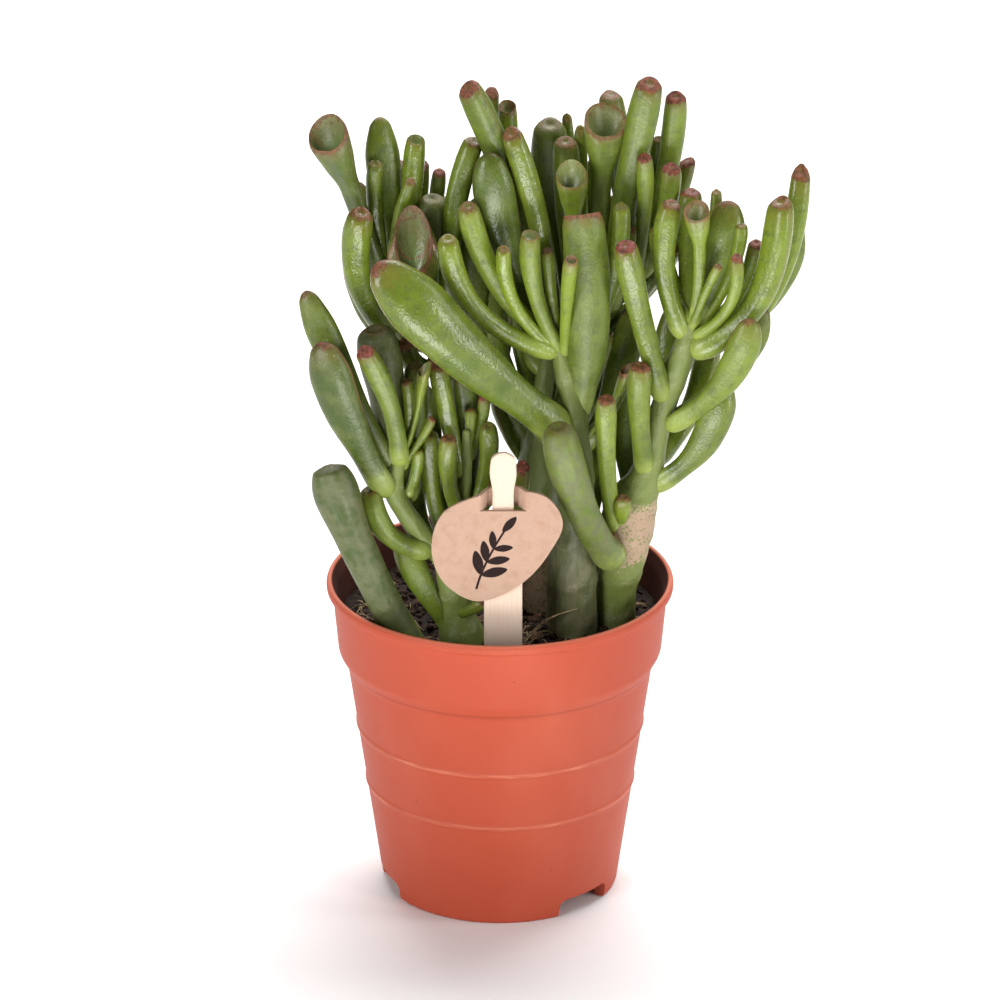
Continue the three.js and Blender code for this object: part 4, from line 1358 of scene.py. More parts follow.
RIGHT_LEAVES = (
    ("CLUB", 6.6, 0, (47.2, -9, 155), (41.6, -9, 174), (43.8, -8, 192)),
    ("CLUB", 6.6, 0, (48, -8, 156), (48, -2, 174), (48.4, 2, 191.5)),
    ("TRUMPET", 6.8, 0, (49, -10, 158), (50.4, -11.5, 176), (49.2, -12, 193)),
    ("CLUB", 3.2, 0, (49, -8, 158), (53.5, -3, 175), (54.8, 0, 192)),
    ("PADDLE", 10, 0, (49, -9, 157), (55.5, -6, 174), (57.6, -4, 190.5)),
    ("CLUB", 3.6, 0, (49.5, -9, 156), (58.4, -8, 172), (61, -7, 185.5)),
    ("CLUB", 3.6, 0, (49, -10.5, 156), (58, -14, 166), (59.6, -14, 180)),
    ("CLUB", 2.6, 0, (48.5, -10.5, 158), (52, -13, 169), (55.4, -14, 177)),
    ("CLUB", 5, 0, (49, -8, 155), (61, -4, 165), (65, -2, 179)),
    ("CLUB", 8.4, -40, (48, -10, 152), (65, -11, 166), (70.8, -9, 193.5)),
    ("CLUB", 6, 0, (48, -8, 152), (68, -3, 163), (76.4, 2, 198)),
    ("PADDLE", 10.4, 0, (48, -7, 151), (66.8, 3, 161), (74.6, 8, 182)),
    ("PADDLE", 9, 0, (42, -11, 131), (57, -16, 146), (63.2, -18, 164)),
    ("PADDLE", 7.6, 0, (42, -8, 131), (59, -7, 145), (66.8, -6, 162.5)),
    ("PADDLE", 9.6, 0, (38, -10, 114), (51.6, -12, 127), (56.4, -12, 145)),
    ("CLUB", 7, 0, (42, -10, 138), (35.8, -14, 162), (31.4, -16, 184)),
    ("CLUB", 6.4, 0, (37.5, -10, 118), (35.5, -15.5, 135), (35.6, -17, 151.5)),
    ("CLUB", 5.6, 0, (29.5, -13, 103), (27.2, -18, 124), (27, -19, 143.5)),
    ("CLUB", 10.2, 0, (30, -13.5, 95), (20.9, -24.2, 114), (14.4, -25.4, 138.5)),
    ("CLUB", 5, 0, (31, -13, 105), (31, -16, 110), (31.5, -17.5, 115)),
    ("CLUB", 3.8, 0, (29, -12, 97), (28.6, -14.5, 100), (28.4, -16, 104)),
    ("PADDLE", 8.4, 0, (40, -8, 126), (43, 1, 140), (44, 5, 158)),
    ("CLUB", 7, 0, (39, -7, 120), (49, 0, 132), (54, 4, 150)),
    ("PADDLE", 9, 0, (35, -5, 108), (32.8, 3, 121), (35.4, 8, 142)),
)
BACK_LEAVES = (
    ("TRUMPET", 13, -40, (-27.5, 3, 154), (-35.6, 2, 185), (-44.6, -2, 210.5)),
    ("CLUB", 7.8, 0, (-27, 2, 152), (-35.8, -3, 168), (-34.8, -6, 189)),
    ("PADDLE", 9.4, 20, (-25, 4, 152), (-28.5, 8, 182), (-30.6, 11, 207.5)),
    ("CLUB", 4.6, 0, (-26.5, 2, 154), (-31, 5, 177), (-31.6, 4.6, 198)),
    ("STUB", 5.8, 0, (-24, 5, 152), (-23, 7, 180), (-21.2, 8, 203.5)),
    ("CLUB", 3.2, 0, (-26, 2.5, 154), (-27, 0.5, 176), (-22.2, 0, 195)),
    ("CLUB", 4, 0, (-21, 5, 150), (-17.5, 10, 174), (-15.4, 12, 193)),
    ("SPOON", 14, 5, (-18, 2, 148), (-21.4, -3, 168), (-22, -6, 189.5)),
    ("CLUB", 9.4, 0, (-16, 5, 148), (-16.5, 6, 169), (-17.4, 6, 188)),
    ("CLUB", 6.2, 0, (-12, 5, 145), (-12.5, 3, 178), (-6.2, 5, 204)),
    ("CLUB", 5.4, 0, (-11, 6, 145), (-13, 9, 164), (-13.7, 10, 180)),
    ("CLUB", 8.2, -40, (11, 6, 143), (3, 4, 188), (-8.6, 1, 219.9)),
    ("STUB", 5.4, 0, (12, 8, 146), (4, 10, 182), (1.9, 10, 212)),
    ("CLUB", 4.6, 0, (13, 9, 145), (0.5, 14, 181), (-2, 15, 214)),
    ("PADDLE", 11.2, 0, (12, 5.5, 144), (1.5, -1, 177), (-2.6, -3, 203)),
    ("CLUB", 6.4, 0, (14, 6, 149), (11, 0.5, 177), (2.4, -1, 209)),
    ("TRUMPET", 8.6, 0, (20, 9, 142), (19, 5, 175), (18, -2, 199)),
    ("CLUB", 7.4, 0, (21, 10, 145), (18, 12, 175), (16.6, 12, 201.5)),
    ("CLUB", 9.8, 0, (18, 11, 140), (13.6, 18, 171), (12.8, 20, 203.5)),
    ("CLUB", 3.2, 0, (19, 12, 143), (19, 22, 171), (17, 26, 203)),
    ("CLUB", 3.6, 0, (22, 11, 147), (21, 15, 175), (20.4, 14, 204)),
    ("TRUMPET", 11.6, 20, (25, 10, 150), (25.4, 8, 184), (26.8, 5, 212)),
    ("CLUB", 8.2, 0, (28, 11, 154), (32, 7, 187), (38.2, 4, 220.4)),
    ("CLUB", 6.4, 0, (33, 12.5, 161), (41.6, 12, 188), (44.6, 10, 214.5)),
    ("CLUB", 5.8, 0, (36, 11, 164), (41.4, 5.5, 181), (43.4, 2, 198)),
    ("CLUB", 3.6, 0, (33, 13, 163), (38, 15, 184), (40.4, 14, 201)),
    ("CLUB", 4.6, 0, (34, 10, 162), (36.6, 3, 184), (36.4, 0, 201.5)),
    ("PADDLE", 10, 10, (-25, 4, 147), (-33, 7, 157), (-36, 9, 176)),
    ("PADDLE", 9.4, 0, (-6, 5, 141), (-6, 9, 164), (-5, 11, 186)),
    ("CLUB", 8, 0, (3, 5, 134), (-2, 10, 156), (4, 13, 178)),
    ("PADDLE", 9, 0, (17, 9, 139), (27, 14, 158), (29, 17, 184)),
    ("CLUB", 7, 0, (30, 13, 158), (36, 19, 172), (36, 22, 193)),
    ("CLUB", 6.4, 0, (1, 5, 135), (-9, 1, 137), (-17, -1, 148)),
    ("CLUB", 6, 0, (-10, 4, 144), (-20, 1, 143), (-25, -1, 151)),
)
ROOTED_LEAF = (("BULB", 12.4, -8, (-20.8, -19.5, 68), (-35.6, -25.6, 103), (-43.6, -26.4, 127.4)),)


def garden() -> list[Plant]:
    """Plants the pot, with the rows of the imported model: stems as x, y, z and radius in mm, and hidden leaves
    as HiddenRule.leaves() reads them.

    Returns:
        The plants and the rooted leaf.
    """
    left_stem = [
        (-10, -19, 57, 5), (-10, -19, 77, 5.8), (-11, -19, 83, 4.6), (-12, -19, 91, 4.2), (-14, -19, 98, 3.2),
        (-18, -19, 103, 2.6), (-24, -19, 111, 2.5), (-27, -19, 117, 2.6), (-25.5, -18.5, 126, 1.5),
    ]
    slim_stem = [(-12, -18, 90, 2.4), (-10, -14, 104, 1.8), (-9, -13, 119, 1.8), (-8.5, -12.5, 131, 1)]
    middle_stem = [
        (18.5, -12, 57, 5.8), (18.5, -12, 77, 6.4), (18.5, -12, 92, 6.3), (19, -12, 105, 5.4),
        (19.5, -12, 120, 4.4), (19.4, -12, 129, 3.4), (18.6, -11, 139, 3.3), (16.3, -9, 148, 2.8),
        (15, -8, 154, 1.7),
    ]
    right_stem = [
        (29.6, -7.2, 57, 4.9), (29.6, -7.2, 77, 5.2), (30.2, -8, 86, 5.2), (31.5, -9, 94, 5.8),
        (32.4, -9, 102, 7), (33.8, -9, 109, 6.5), (37, -9, 116, 4.6), (39, -9, 124, 3.4),
        (41.3, -9, 135, 3.2), (47.2, -9, 153, 3), (49, -9, 160, 1.8),
    ]
    trunk = [(9, 5, 57, 5.2), (9, 5, 77, 5.8), (9.5, 5, 100, 5.4), (10, 5, 118, 5), (10, 5, 128, 3.4)]
    branches = [
        [(10, 5, 120, 3), (0, 5, 136, 2.6), (-13, 4, 146, 2.4), (-24, 3, 151, 2.2), (-28.5, 2.5, 157, 1.2)],
        [(10, 5, 122, 3.2), (12, 7, 138, 2.8), (13.5, 7, 150, 2.3), (13.5, 7, 157, 1.2)],
        [(10.5, 6, 122, 3), (18, 9, 141, 2.6), (26, 11, 152, 2.4), (32, 12, 161, 2.1), (37, 12, 167, 1.2)],
    ]
    back_hidden = [
        (0, 0.5, 0.95, 4, 180, 30, 6.6, 100), (1, 0.25, 0.98, 7, 175, 38, 6.4, 90),
        (2, 0.2, 0.95, 6, 150, 46, 6.4, 100), (3, 0.25, 0.98, 7, 170, 42, 6.2, 90),
    ]
    left = [Stem(left_stem, olive=(62, 82)), Stem(slim_stem)]
    middle = [Stem(middle_stem, olive=(96, 122))]
    right = [Stem(right_stem, cork=(94, 111), olive=(66, 88))]
    # The back trunk keeps the default olive range, so it darkens to olive below 105 mm: partly its own olive
    # skin, partly painted shade under the foliage.
    back = [Stem(trunk, cork=(74, 96)), *(Stem(branch) for branch in branches)]
    return [
        Plant("plant_left", left, LEFT_LEAVES, [(0, 0.55, 0.98, 6, 200, 25, 5.6, 90)], tone=0.38),
        Plant("plant_middle", middle, MIDDLE_LEAVES, [(0, 0.4, 0.8, 5, 195, 25, 5.6, 80)], tone=0.55),
        Plant("plant_right", right, RIGHT_LEAVES, [(0, 0.5, 0.98, 8, 175, 32, 6, 100)], tone=0.52),
        Plant("plant_back", back, BACK_LEAVES, back_hidden, tone=0.42),
        Plant("leaf_rooted", [], ROOTED_LEAF, tone=0.25, redness=(0.0, 0.1)),
    ]


@dataclass
class Pot:
    """A moulded pot: a shell turned about the axis, with arched notches in its foot and drain holes."""

    height: float = 85 * MM
    wall: float = 1.2 * MM
    lip_radius: float = 44.9 * MM
    lip_height: float = 2.8 * MM
    lip_fillet: float = 0.8 * MM
    lip_crown: float = 0.5 * MM
    lip_width: float = 1.5 * MM
    band_top: float = 43.4 * MM
    band_radius: float = 41.9 * MM
    band_foot: float = 66 * MM
    shoulder_radius: float = 39.6 * MM
    shoulder: float = 62 * MM
    base_radius: float = 30.6 * MM
    skirt: float = 28 * MM
    skirt_draft: float = 0.6 * MM
    heel: float = 2 * MM
    floor: float = 5.3 * MM
    corner: float = 1 * MM
    bend: float = 0.9 * MM
    pad: float = 11 * MM
    pad_slope: float = 1.5 * MM
    pad_wall: float = 1.4 * MM
    rings: Pair = (29.2 * MM, 45.2 * MM)
    ring_height: float = 1 * MM
    ring_depth: float = 0.35 * MM
    notches: tuple[float, float, float] = (46, 166, -74)
    notch_half: float = 8.25 * MM
    notch_height: float = 4.8 * MM
    notch_corner: float = 2.4 * MM
    notch_steps: Row = (0.3, 0.55, 0.75, 0.9, 0.98, 0.999)
    notch_side: float = 0.01 * MM
    drain: float = 2.6 * MM
    drain_distance: float = 20.5 * MM
    drain_reach: Pair = (-2 * MM, 3 * MM)
    drain_sides: int = 40
    columns: int = 240
    crease: float = 40

    def radius(self, z: float) -> float:
        """Measures the body, the shoulder and the band.

        Args:
            z: a height.

        Returns:
            The outer radius there.
        """
        heights = (0, self.shoulder, self.band_foot, self.height - self.lip_height)
        radii = (self.base_radius, self.shoulder_radius, self.band_radius, self.band_top)
        return float(np.interp(z, heights, radii))

    def profile(self) -> Array:
        """Runs from the middle of the underside out and up, over the lip and in to the floor.

        Returns:
            Rows of radius and height.
        """
        foot = self.height - self.lip_height
        inside = self.lip_radius - self.lip_width
        top = self.floor + self.wall
        rise, third = self.ring_height, self.ring_height / 3
        rings = []
        for z in self.rings:
            out = self.radius(z) + self.ring_depth
            rings += [(self.radius(z - rise), z - rise), (out, z - third), (out, z + third)]
            rings += [(self.radius(z + rise), z + rise)]
        outer = [
            (0, 0), (self.pad, 0), (self.pad + self.pad_slope, self.floor),
            (self.skirt - self.skirt_draft, self.floor), (self.skirt, 0), (self.base_radius, 0),
            (self.radius(self.heel), self.heel), (self.radius(self.floor), self.floor), *rings,
            (self.shoulder_radius, self.shoulder), (self.band_radius, self.band_foot), (self.band_top, foot),
        ]
        lip = [
            (self.lip_radius - self.lip_fillet / 4, foot + self.lip_fillet / 3),
            (self.lip_radius, foot + self.lip_fillet), (self.lip_radius, self.height - self.lip_fillet),
            (self.lip_radius - self.lip_crown, self.height), (inside + self.lip_crown / 2, self.height),
            (inside, self.height - self.lip_crown), (self.radius(foot) - self.wall, foot - self.lip_fillet),
        ]
        inner = [
            (self.band_radius - self.wall, self.band_foot + self.wall / 3),
            (self.shoulder_radius - self.wall, self.shoulder + self.wall / 3),
            (self.radius(top + self.corner) - self.wall, top + self.corner),
            (self.radius(top) - self.wall - self.corner, top),
            (self.pad + self.pad_slope - GAP, top), (self.pad - self.pad_wall, self.wall), (0, self.wall),
        ]
        return eased([*outer, *lip, *inner], self.bend)

    def foot_ring(self) -> float:
        """The radius of the middle of the foot ring."""
        return 0.5 * (self.skirt + self.base_radius)

    def arch(self, angles: Array) -> Array:
        """Arches the foot's edge, with round corners in each notch.

        Args:
            angles: compass angles.

        Returns:
            The edge's height at each.
        """
        edge = np.zeros_like(angles)
        for notch in self.notches:
            off = np.abs((angles - notch + 180) % 360 - 180) * np.pi / 180 * self.foot_ring()
            run = np.clip((off - self.notch_half + self.notch_corner) / self.notch_corner, 0, 1)
            rise = self.notch_height - self.notch_corner * (1 - np.sqrt(1 - run**2))
            edge = np.where(off < self.notch_half, rise, edge)
        return edge

    def angles(self) -> Array:
        """Sets the columns: even, with more where a notch's corners and sides are.

        Returns:
            Their compass angles.
        """
        off = self.notch_half - self.notch_corner * (1 - np.array(self.notch_steps))
        half = np.degrees(np.append(off, self.notch_half + self.notch_side) / self.foot_ring())
        extra = [notch + sign * half for notch in self.notches for sign in (-1, 1)]
        even = np.linspace(-180, 180, self.columns, endpoint=False)
        return np.unique(np.round(np.concatenate([even, *extra]) % 360, 4))

    def build(self, finish: Material) -> Piece:
        """Turns the profile about the axis, arches the foot, and drills the floor.

        A point of the foot under the floor is lifted in proportion, from the arch's height at its edge to
        none at the floor, and moved out with the wall's slope.

        Args:
            finish: the plastic.

        Returns:
            The piece.
        """
        angles = self.angles()
        radius, height = (column[1:-1, None] for column in self.profile().T)
        turn = np.radians(angles - 90)[None, :]
        arch = self.arch(angles)[None, :]
        low = (height < self.floor) & (radius > self.pad + 2 * self.pad_slope)
        lifted = np.where(low, arch + height * (self.floor - arch) / self.floor, height)
        slope = (self.shoulder_radius - self.base_radius) / self.shoulder
        moved = np.where(low & (radius > self.foot_ring()), radius + slope * (lifted - height), radius)
        skin = Skin()
        rings = np.stack([moved * np.cos(turn), moved * np.sin(turn), lifted], axis=-1)
        skin.tube(rings, np.zeros(3), np.array([0, 0, self.wall]))
        piece = skin.piece("pot_shell", [finish], "pot", self.crease)
        self.drill(piece)
        return piece

    def drill(self, piece: Piece) -> None:
        """Cuts a round drain hole behind each notch, with cylinders that are then removed.

        Args:
            piece: the shell.
        """
        cutter = Skin()
        turn = turns(self.drain_sides)
        ends = self.floor + np.array(self.drain_reach)[:, None]
        for notch in self.notches:
            x, y, _ = heading(notch) * self.drain_distance
            across, deep = x + self.drain * np.cos(turn), y + self.drain * np.sin(turn)
            rings = stacked([2, self.drain_sides], across, deep, ends)
            cutter.tube(rings, *(np.array([x, y, z]) for z in ends[:, 0]))
        drains = linked("drains", cutter.mesh("drains"))
        modified(piece, "BOOLEAN", operation="DIFFERENCE", object=drains, solver="EXACT")
        bpy.context.view_layer.update()
        cut = bpy.data.meshes.new_from_object(piece.evaluated_get(bpy.context.evaluated_depsgraph_get()))
        piece.modifiers.clear()
        piece.data = cut
        cut.set_sharp_from_angle(angle=np.radians(self.crease))
        bpy.data.objects.remove(drains)


@dataclass(frozen=True)
class Litter:
    """Small lumps of one sort: how many, their smallest and largest radius in mm, their height over their
    width, what is added to the seed, and the angle in degrees from which an edge is sharp.

    Then, as shares: how much smaller and how stretched a lump may be, how deep its dents are at most, and
    how far its middle stands proud, of its height.
    """

    name: str
    count: int
    sizes: Pair
    squash: float
    shift: int
    crease: float
    smaller: Pair = (0.5, 1)
    stretch: Pair = (0.65, 1.35)
    dent: float = 0.25
    proud: float = 0.25
    rings: int = 4
    sides: int = 8


@dataclass(frozen=True)
class Fibres:
    """Thin pale fibres, in mm: spots of them as rows of place, spread and number, the ranges of their
    lengths, arches and radii, their lift off the soil and how far they keep clear of the pot. They bow
    sideways by up to a share of the length."""

    spots: Sequence[Row] = ((9.0, -14.0, 6.0, 60), (-30.0, 0.0, 6.0, 40), (0.0, 0.0, 22.0, 50))
    lengths: Pair = (1.5, 6)
    arches: Pair = (0.1, 0.8)
    radii: Pair = (0.09, 0.22)
    lift: float = 0.1
    clear: float = 5
    bow: float = 0.12
    points: int = 9
    shift: int = 9


@dataclass
class Bed:
    """The soil and what lies in it. The clods are rows of share, size and seed, and the straw is rows of
    x, y and z in mm."""

    pot: Pot
    top: float = 75 * MM
    edge: float = 74.2 * MM
    lump: float = 0.7 * MM
    flat: float = 34 * MM
    clods: Sequence[Row] = ((0.9, 5 * MM, 1), (0.5, 2.3 * MM, 2), (0.25, 1.1 * MM, 3))
    crumbs: Litter = Litter("soil_crumbs", 900, (0.5, 1.5), 0.75, 0, 80)
    bark: Litter = Litter("soil_bark", 110, (1.0, 2.6), 0.35, 5, 60)
    fibres: Fibres = Fibres()
    straw: Sequence[Row] = ((5.8, -19.5, 75.2), (8.5, -20, 78.6), (13, -20, 82.2), (19.9, -19.2, 84.4))
    straw_radius: float = 0.24 * MM
    heel: float = 2 * MM
    levels: int = 12
    middle: float = 0.6 * MM
    clear: float = 2.2 * MM
    columns: int = 280
    rows: int = 84
    crease: float = 80
    seed: int = 11

    def side(self, z: float) -> float:
        """The soil's radius at a height."""
        return self.pot.radius(z - GAP) - self.pot.wall - GAP

    def surface(self, x: Array, y: Array) -> Array:
        """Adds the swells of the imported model, rougher clods and grains.

        Args:
            x: places across.
            y: places in depth.

        Returns:
            The soil's height at each place.
        """
        u, v = x / MM, y / MM
        swell = np.sin(0.31 * u + 1) * np.cos(0.27 * v) + 0.5 * np.sin(0.9 * u + 0.7 * v)
        inner = 1 - smoothstep(np.hypot(x, y), self.flat, self.side(self.edge))
        clods = sum(share * ripples(x, y, cell, seed) for share, cell, seed in self.clods)
        return self.edge + (self.top - self.edge) * inner + self.lump * (swell * inner + clods)

    def build(self, finishes: Sequence[Material]) -> list[Piece]:
        """Builds the soil, its crumbs, its bark bits and its fibres.

        Args:
            finishes: soil, crumbs, bark bits and fibres.

        Returns:
            The pieces.
        """
        soil, crumb, bark, fibre = finishes
        pieces = [self.ground().piece("soil_bed", [soil], "soil", self.crease)]
        for litter, finish in ((self.crumbs, crumb), (self.bark, bark)):
            pieces.append(self.scatter(litter).piece(litter.name, [finish], "soil", litter.crease))
        pieces.append(self.strands().piece("soil_fibres", [fibre], "soil", self.crease))
        return pieces

    def ground(self) -> Skin:
        """Runs out along the pot's floor, up its wall, and in over the rough top.

        Returns:
            The soil's body.
        """
        floor = self.pot.floor + self.pot.wall + GAP
        heel = self.heel
        wall = [(self.pot.pad, floor), (self.side(floor) - 0.8 * heel, floor)]
        levels = [floor + heel, *np.linspace(floor + 3 * heel, self.edge - heel, self.levels)]
        radius, height = np.array([*wall, *((self.side(z), z) for z in levels)]).T[..., None]
        turn = turns(self.columns)
        low = np.stack([radius * np.cos(turn), radius * np.sin(turn), height + 0 * turn], axis=-1)
        reach = np.linspace(self.side(self.edge), self.middle, self.rows)[:, None]
        x, y = reach * np.cos(turn), reach * np.sin(turn)
        high = np.stack([x, y, self.surface(x, y)], axis=-1)
        skin = Skin()
        end = self.surface(np.zeros(1), np.zeros(1))[0]
        skin.tube(np.concatenate([low, high]), np.array([0, 0, floor]), np.array([0, 0, end]))
        return skin

    def scatter(self, litter: Litter) -> Skin:
        """Small lumps on the soil: spheres with a random stretch and dents, pressed into it.

        Args:
            litter: the sort of lumps.

        Returns:
            Their skin.
        """
        chance = np.random.default_rng(self.seed + litter.shift)
        turn = turns(litter.sides)
        polar = (np.pi * np.arange(1, litter.rings + 1) / (litter.rings + 1))[:, None]
        far = self.side(self.edge) - self.clear
        skin = Skin()
        for _ in range(litter.count):
            size = chance.uniform(*litter.sizes) * MM * chance.uniform(*litter.smaller)
            reach = far * np.sqrt(chance.uniform())
            angle = chance.uniform(0, 2 * np.pi)
            x, y = reach * np.cos(angle), reach * np.sin(angle)
            dents = 1 + chance.uniform(-litter.dent, litter.dent, (litter.rings, litter.sides))
            stretch = chance.uniform(*litter.stretch, 2)
            spin = chance.uniform(0, np.pi)
            tall = litter.squash * size
            a = size * stretch[0] * dents * np.sin(polar) * np.cos(turn)
            b = size * stretch[1] * dents * np.sin(polar) * np.sin(turn)
            z = -tall * dents * np.cos(polar) + 0 * turn
            ground = self.surface(np.array([x]), np.array([y]))[0]
            centre = np.array([x, y, ground + litter.proud * tall])
            cosine, sine = np.cos(spin), np.sin(spin)
            points = np.stack([a * cosine - b * sine, a * sine + b * cosine, z], axis=-1)
            pole = np.array([0, 0, tall])
            skin.tube(points + centre, centre - pole, centre + pole)
        return skin

    def strands(self) -> Skin:
        """Lays thin pale fibres on the soil: tubes on parabolas with both ends near the ground.

        Returns:
            Their skin.
        """
        fibres = self.fibres
        chance = np.random.default_rng(self.seed + fibres.shift)
        skin = Skin()
        t = np.linspace(0, 1, fibres.points)[:, None]
        bulge = 1 - (2 * t - 1) ** 2
        for cx, cy, spread, count in fibres.spots:
            for _ in range(count):
                x, y = np.array([cx, cy]) * MM + chance.normal(0, spread * MM, 2)
                far = np.hypot(x, y) / (self.side(self.edge) - fibres.clear * MM)
                middle = np.array([x, y]) / max(far, 1.0)
                angle, length = chance.uniform(0, 2 * np.pi), chance.uniform(*fibres.lengths) * MM
                step = 0.5 * length * np.array([np.cos(angle), np.sin(angle)])
                sideways = np.array([-np.sin(angle), np.cos(angle)])
                bow = chance.uniform(-fibres.bow, fibres.bow) * length * sideways
                lie = middle + step * (2 * t - 1) + bow * bulge
                arch = chance.uniform(*fibres.arches) * MM * bulge[:, 0]
                z = self.surface(lie[:, 0], lie[:, 1]) + fibres.lift * MM + arch
                self.strand(skin, np.column_stack([lie, z]), chance.uniform(*fibres.radii) * MM)
        self.strand(skin, through(np.array(self.straw) * MM, 24), self.straw_radius)
        return skin

    @staticmethod
    def strand(skin: Skin, path: Array, radius: float) -> None:
        """Adds a thin tube that tapers at both ends.

        Args:
            skin: what it is added to.
            path: its mid-line.
            radius: its radius in the middle.
        """
        side = unit(np.cross(unit(np.gradient(path, axis=0)), np.array([0, 0, 1.0])))
        taper = radius * (0.35 + 0.65 * np.sin(np.pi * np.linspace(0.05, 0.95, len(path))))[:, None]
        skin.tube(hoops(path, side, taper, turns(5)), path[0], path[-1])


@dataclass
class Stake:
    """A flat wooden stake with rounded edges, as half-widths at heights in millimetres."""

    x: float = 0.8 * MM
    y: float = -30 * MM
    half_thick: float = 0.8 * MM
    outline: Sequence[Row] = (
        (30, 0.8), (42, 4.9), (97, 4.9), (112, 2.9), (121, 2.7), (127, 3.4), (130.6, 3.0), (132.0, 1.6),
        (132.3, 0.7),
    )
    thinned: tuple[float, float, float] = (131.2 * MM, 132.4 * MM, 0.35)
    rings: int = 120
    sides: int = 44
    squareness: float = 0.28

    def build(self, finish: Material) -> Piece:
        """Carries a squarish oval up the stake, a little thinner at its top.

        The section at a turn lies across by the half-width times the cosine to a small power, and through by
        half the thickness times the sine to that power, with their signs kept.

        Args:
            finish: the wood.

        Returns:
            The piece.
        """
        path = through(self.outline, self.rings, crowd=1.5, calm=True) * MM
        height, half = path[:, :1], path[:, 1:]
        turn = turns(self.sides, 0.5)
        sides = np.cos(turn), np.sin(turn)
        across, deep = (np.sign(part) * np.abs(part) ** self.squareness for part in sides)
        start, end, loss = self.thinned
        thick = self.half_thick * (1 - loss * smoothstep(height, start, end))
        rings = np.stack([self.x + across * half, self.y + deep * thick, height + 0 * turn], axis=-1)
        skin = Skin()
        skin.tube(rings, *(np.array([self.x, self.y, z]) for z in path[[0, -1], 0]))
        return skin.piece("stake_wood", [finish], "tag_stake", crease=40)


@dataclass
class Card:
    """A card with a slit. It lies before the stake, and the strip over the slit bows behind its neck."""

    stake: Stake
    thick: float = 1 * MM
    slit: float = 117 * MM
    slit_half: float = 6 * MM
    bow_half: float = 3.3 * MM
    outline: Sequence[Row] = (
        (-17.4, 106.5), (-14.2, 116.6), (-7, 120.6), (2, 122.4), (12, 120.6), (15.9, 114), (12.6, 105.6),
        (3.8, 95.8), (-6.3, 92.2), (-14.2, 97.2),
    )
    edge_points: int = 220
    columns: int = 40
    rows: int = 8
    weld: float = 0.02 * MM
    soft: float = 0.14 * MM

    def window(self) -> Pair:
        """Where the window over the slit starts and ends."""
        return self.stake.x - self.slit_half, self.stake.x + self.slit_half

    def build(self, finish: Material) -> Piece:
        """Cuts the card out and threads it on the stake.

        Three flat parts leave out the window over the slit. The window is a grid of columns across and rows
        up to the outline, pushed back by an eased step that starts at the slit's ends.

        Args:
            finish: the card.

        Returns:
            The piece.
        """
        front = self.stake.y - self.stake.half_thick - GAP - self.thick
        edge = around(np.array(self.outline) * MM, self.edge_points)
        left, right = self.window()
        over = edge[(edge[:, 0] > left) & (edge[:, 0] < right) & (edge[:, 1] > self.slit)]
        over = over[np.argsort(over[:, 0])]
        x = np.linspace(left, right, self.columns + 1)
        top = np.interp(x, over[:, 0], over[:, 1])
        share = np.linspace(0, 1, self.rows + 1)[:, None]
        z = self.slit + GAP * 0.5 + share * (top - self.slit - GAP * 0.5)[None, :]
        depth = 2 * self.stake.half_thick + self.thick + 2.5 * GAP
        bow = depth * (1 - smoothstep(np.abs(x - self.stake.x), self.bow_half, self.slit_half))
        grid = stacked(z.shape, x, front + bow, z)
        parts = [np.insert(part, 1, front, axis=1) for part in self.flats(edge)]
        parts[1] = np.concatenate([parts[1], grid[::-1, 0]])
        parts[2] = np.concatenate([grid[:, -1], parts[2]])
        across = self.columns + 1
        corner = np.arange(self.rows)[:, None] * across + np.arange(self.columns)
        quads = np.stack([corner, corner + 1, corner + across + 1, corner + across], axis=-1)
        starts = np.cumsum([across * (self.rows + 1), *(len(part) for part in parts)])
        flats = [list(range(last - 1, first - 1, -1)) for first, last in zip(starts, starts[1:])]
        mesh = bpy.data.meshes.new("card_sheet")
        points = np.concatenate([grid.reshape(-1, 3), *parts]).tolist()
        mesh.from_pydata(points, [], [*quads.reshape(-1, 4).tolist(), *flats])
        mesh.materials.append(finish)
        mesh.polygons.foreach_set("use_smooth", [True] * len(mesh.polygons))
        piece = linked("card_sheet", mesh)
        modified(piece, "WELD", merge_threshold=self.weld)
        modified(piece, "SOLIDIFY", thickness=self.thick, offset=-1, use_even_offset=True)
        edges = {"limit_method": "ANGLE", "angle_limit": np.radians(50)}
        modified(piece, "BEVEL", width=self.soft, segments=2, **edges)
        return mounted(piece, "tag_card")

    def flats(self, edge: Array) -> list[Array]:
        """Outlines the parts under the slit, left of its window and right of it, clockwise from the front.

        Args:
            edge: the card's outline, from its left end over its top.

        Returns:
            Rows of x and z. The left one ends and the right one starts where the window's side goes.
        """
        left, right = self.window()
        under = edge[:, 1] <= self.slit
        first = int(np.argmax(under & ~np.roll(under, 1)))
        turned = np.roll(edge, -first, axis=0)
        low, high = turned[: under.sum()], turned[under.sum() :]
        ends = np.array([[low[0, 0], self.slit], [low[-1, 0], self.slit]])
        slit = np.array([[left, self.slit], [right, self.slit]])
        return [
            np.concatenate([ends[:1], low[1:-1], ends[1:], slit]),
            np.concatenate([slit[:1], ends[1:], high[high[:, 0] < left]]),
            np.concatenate([high[high[:, 0] > right], ends[:1], slit[1:]]),
        ]


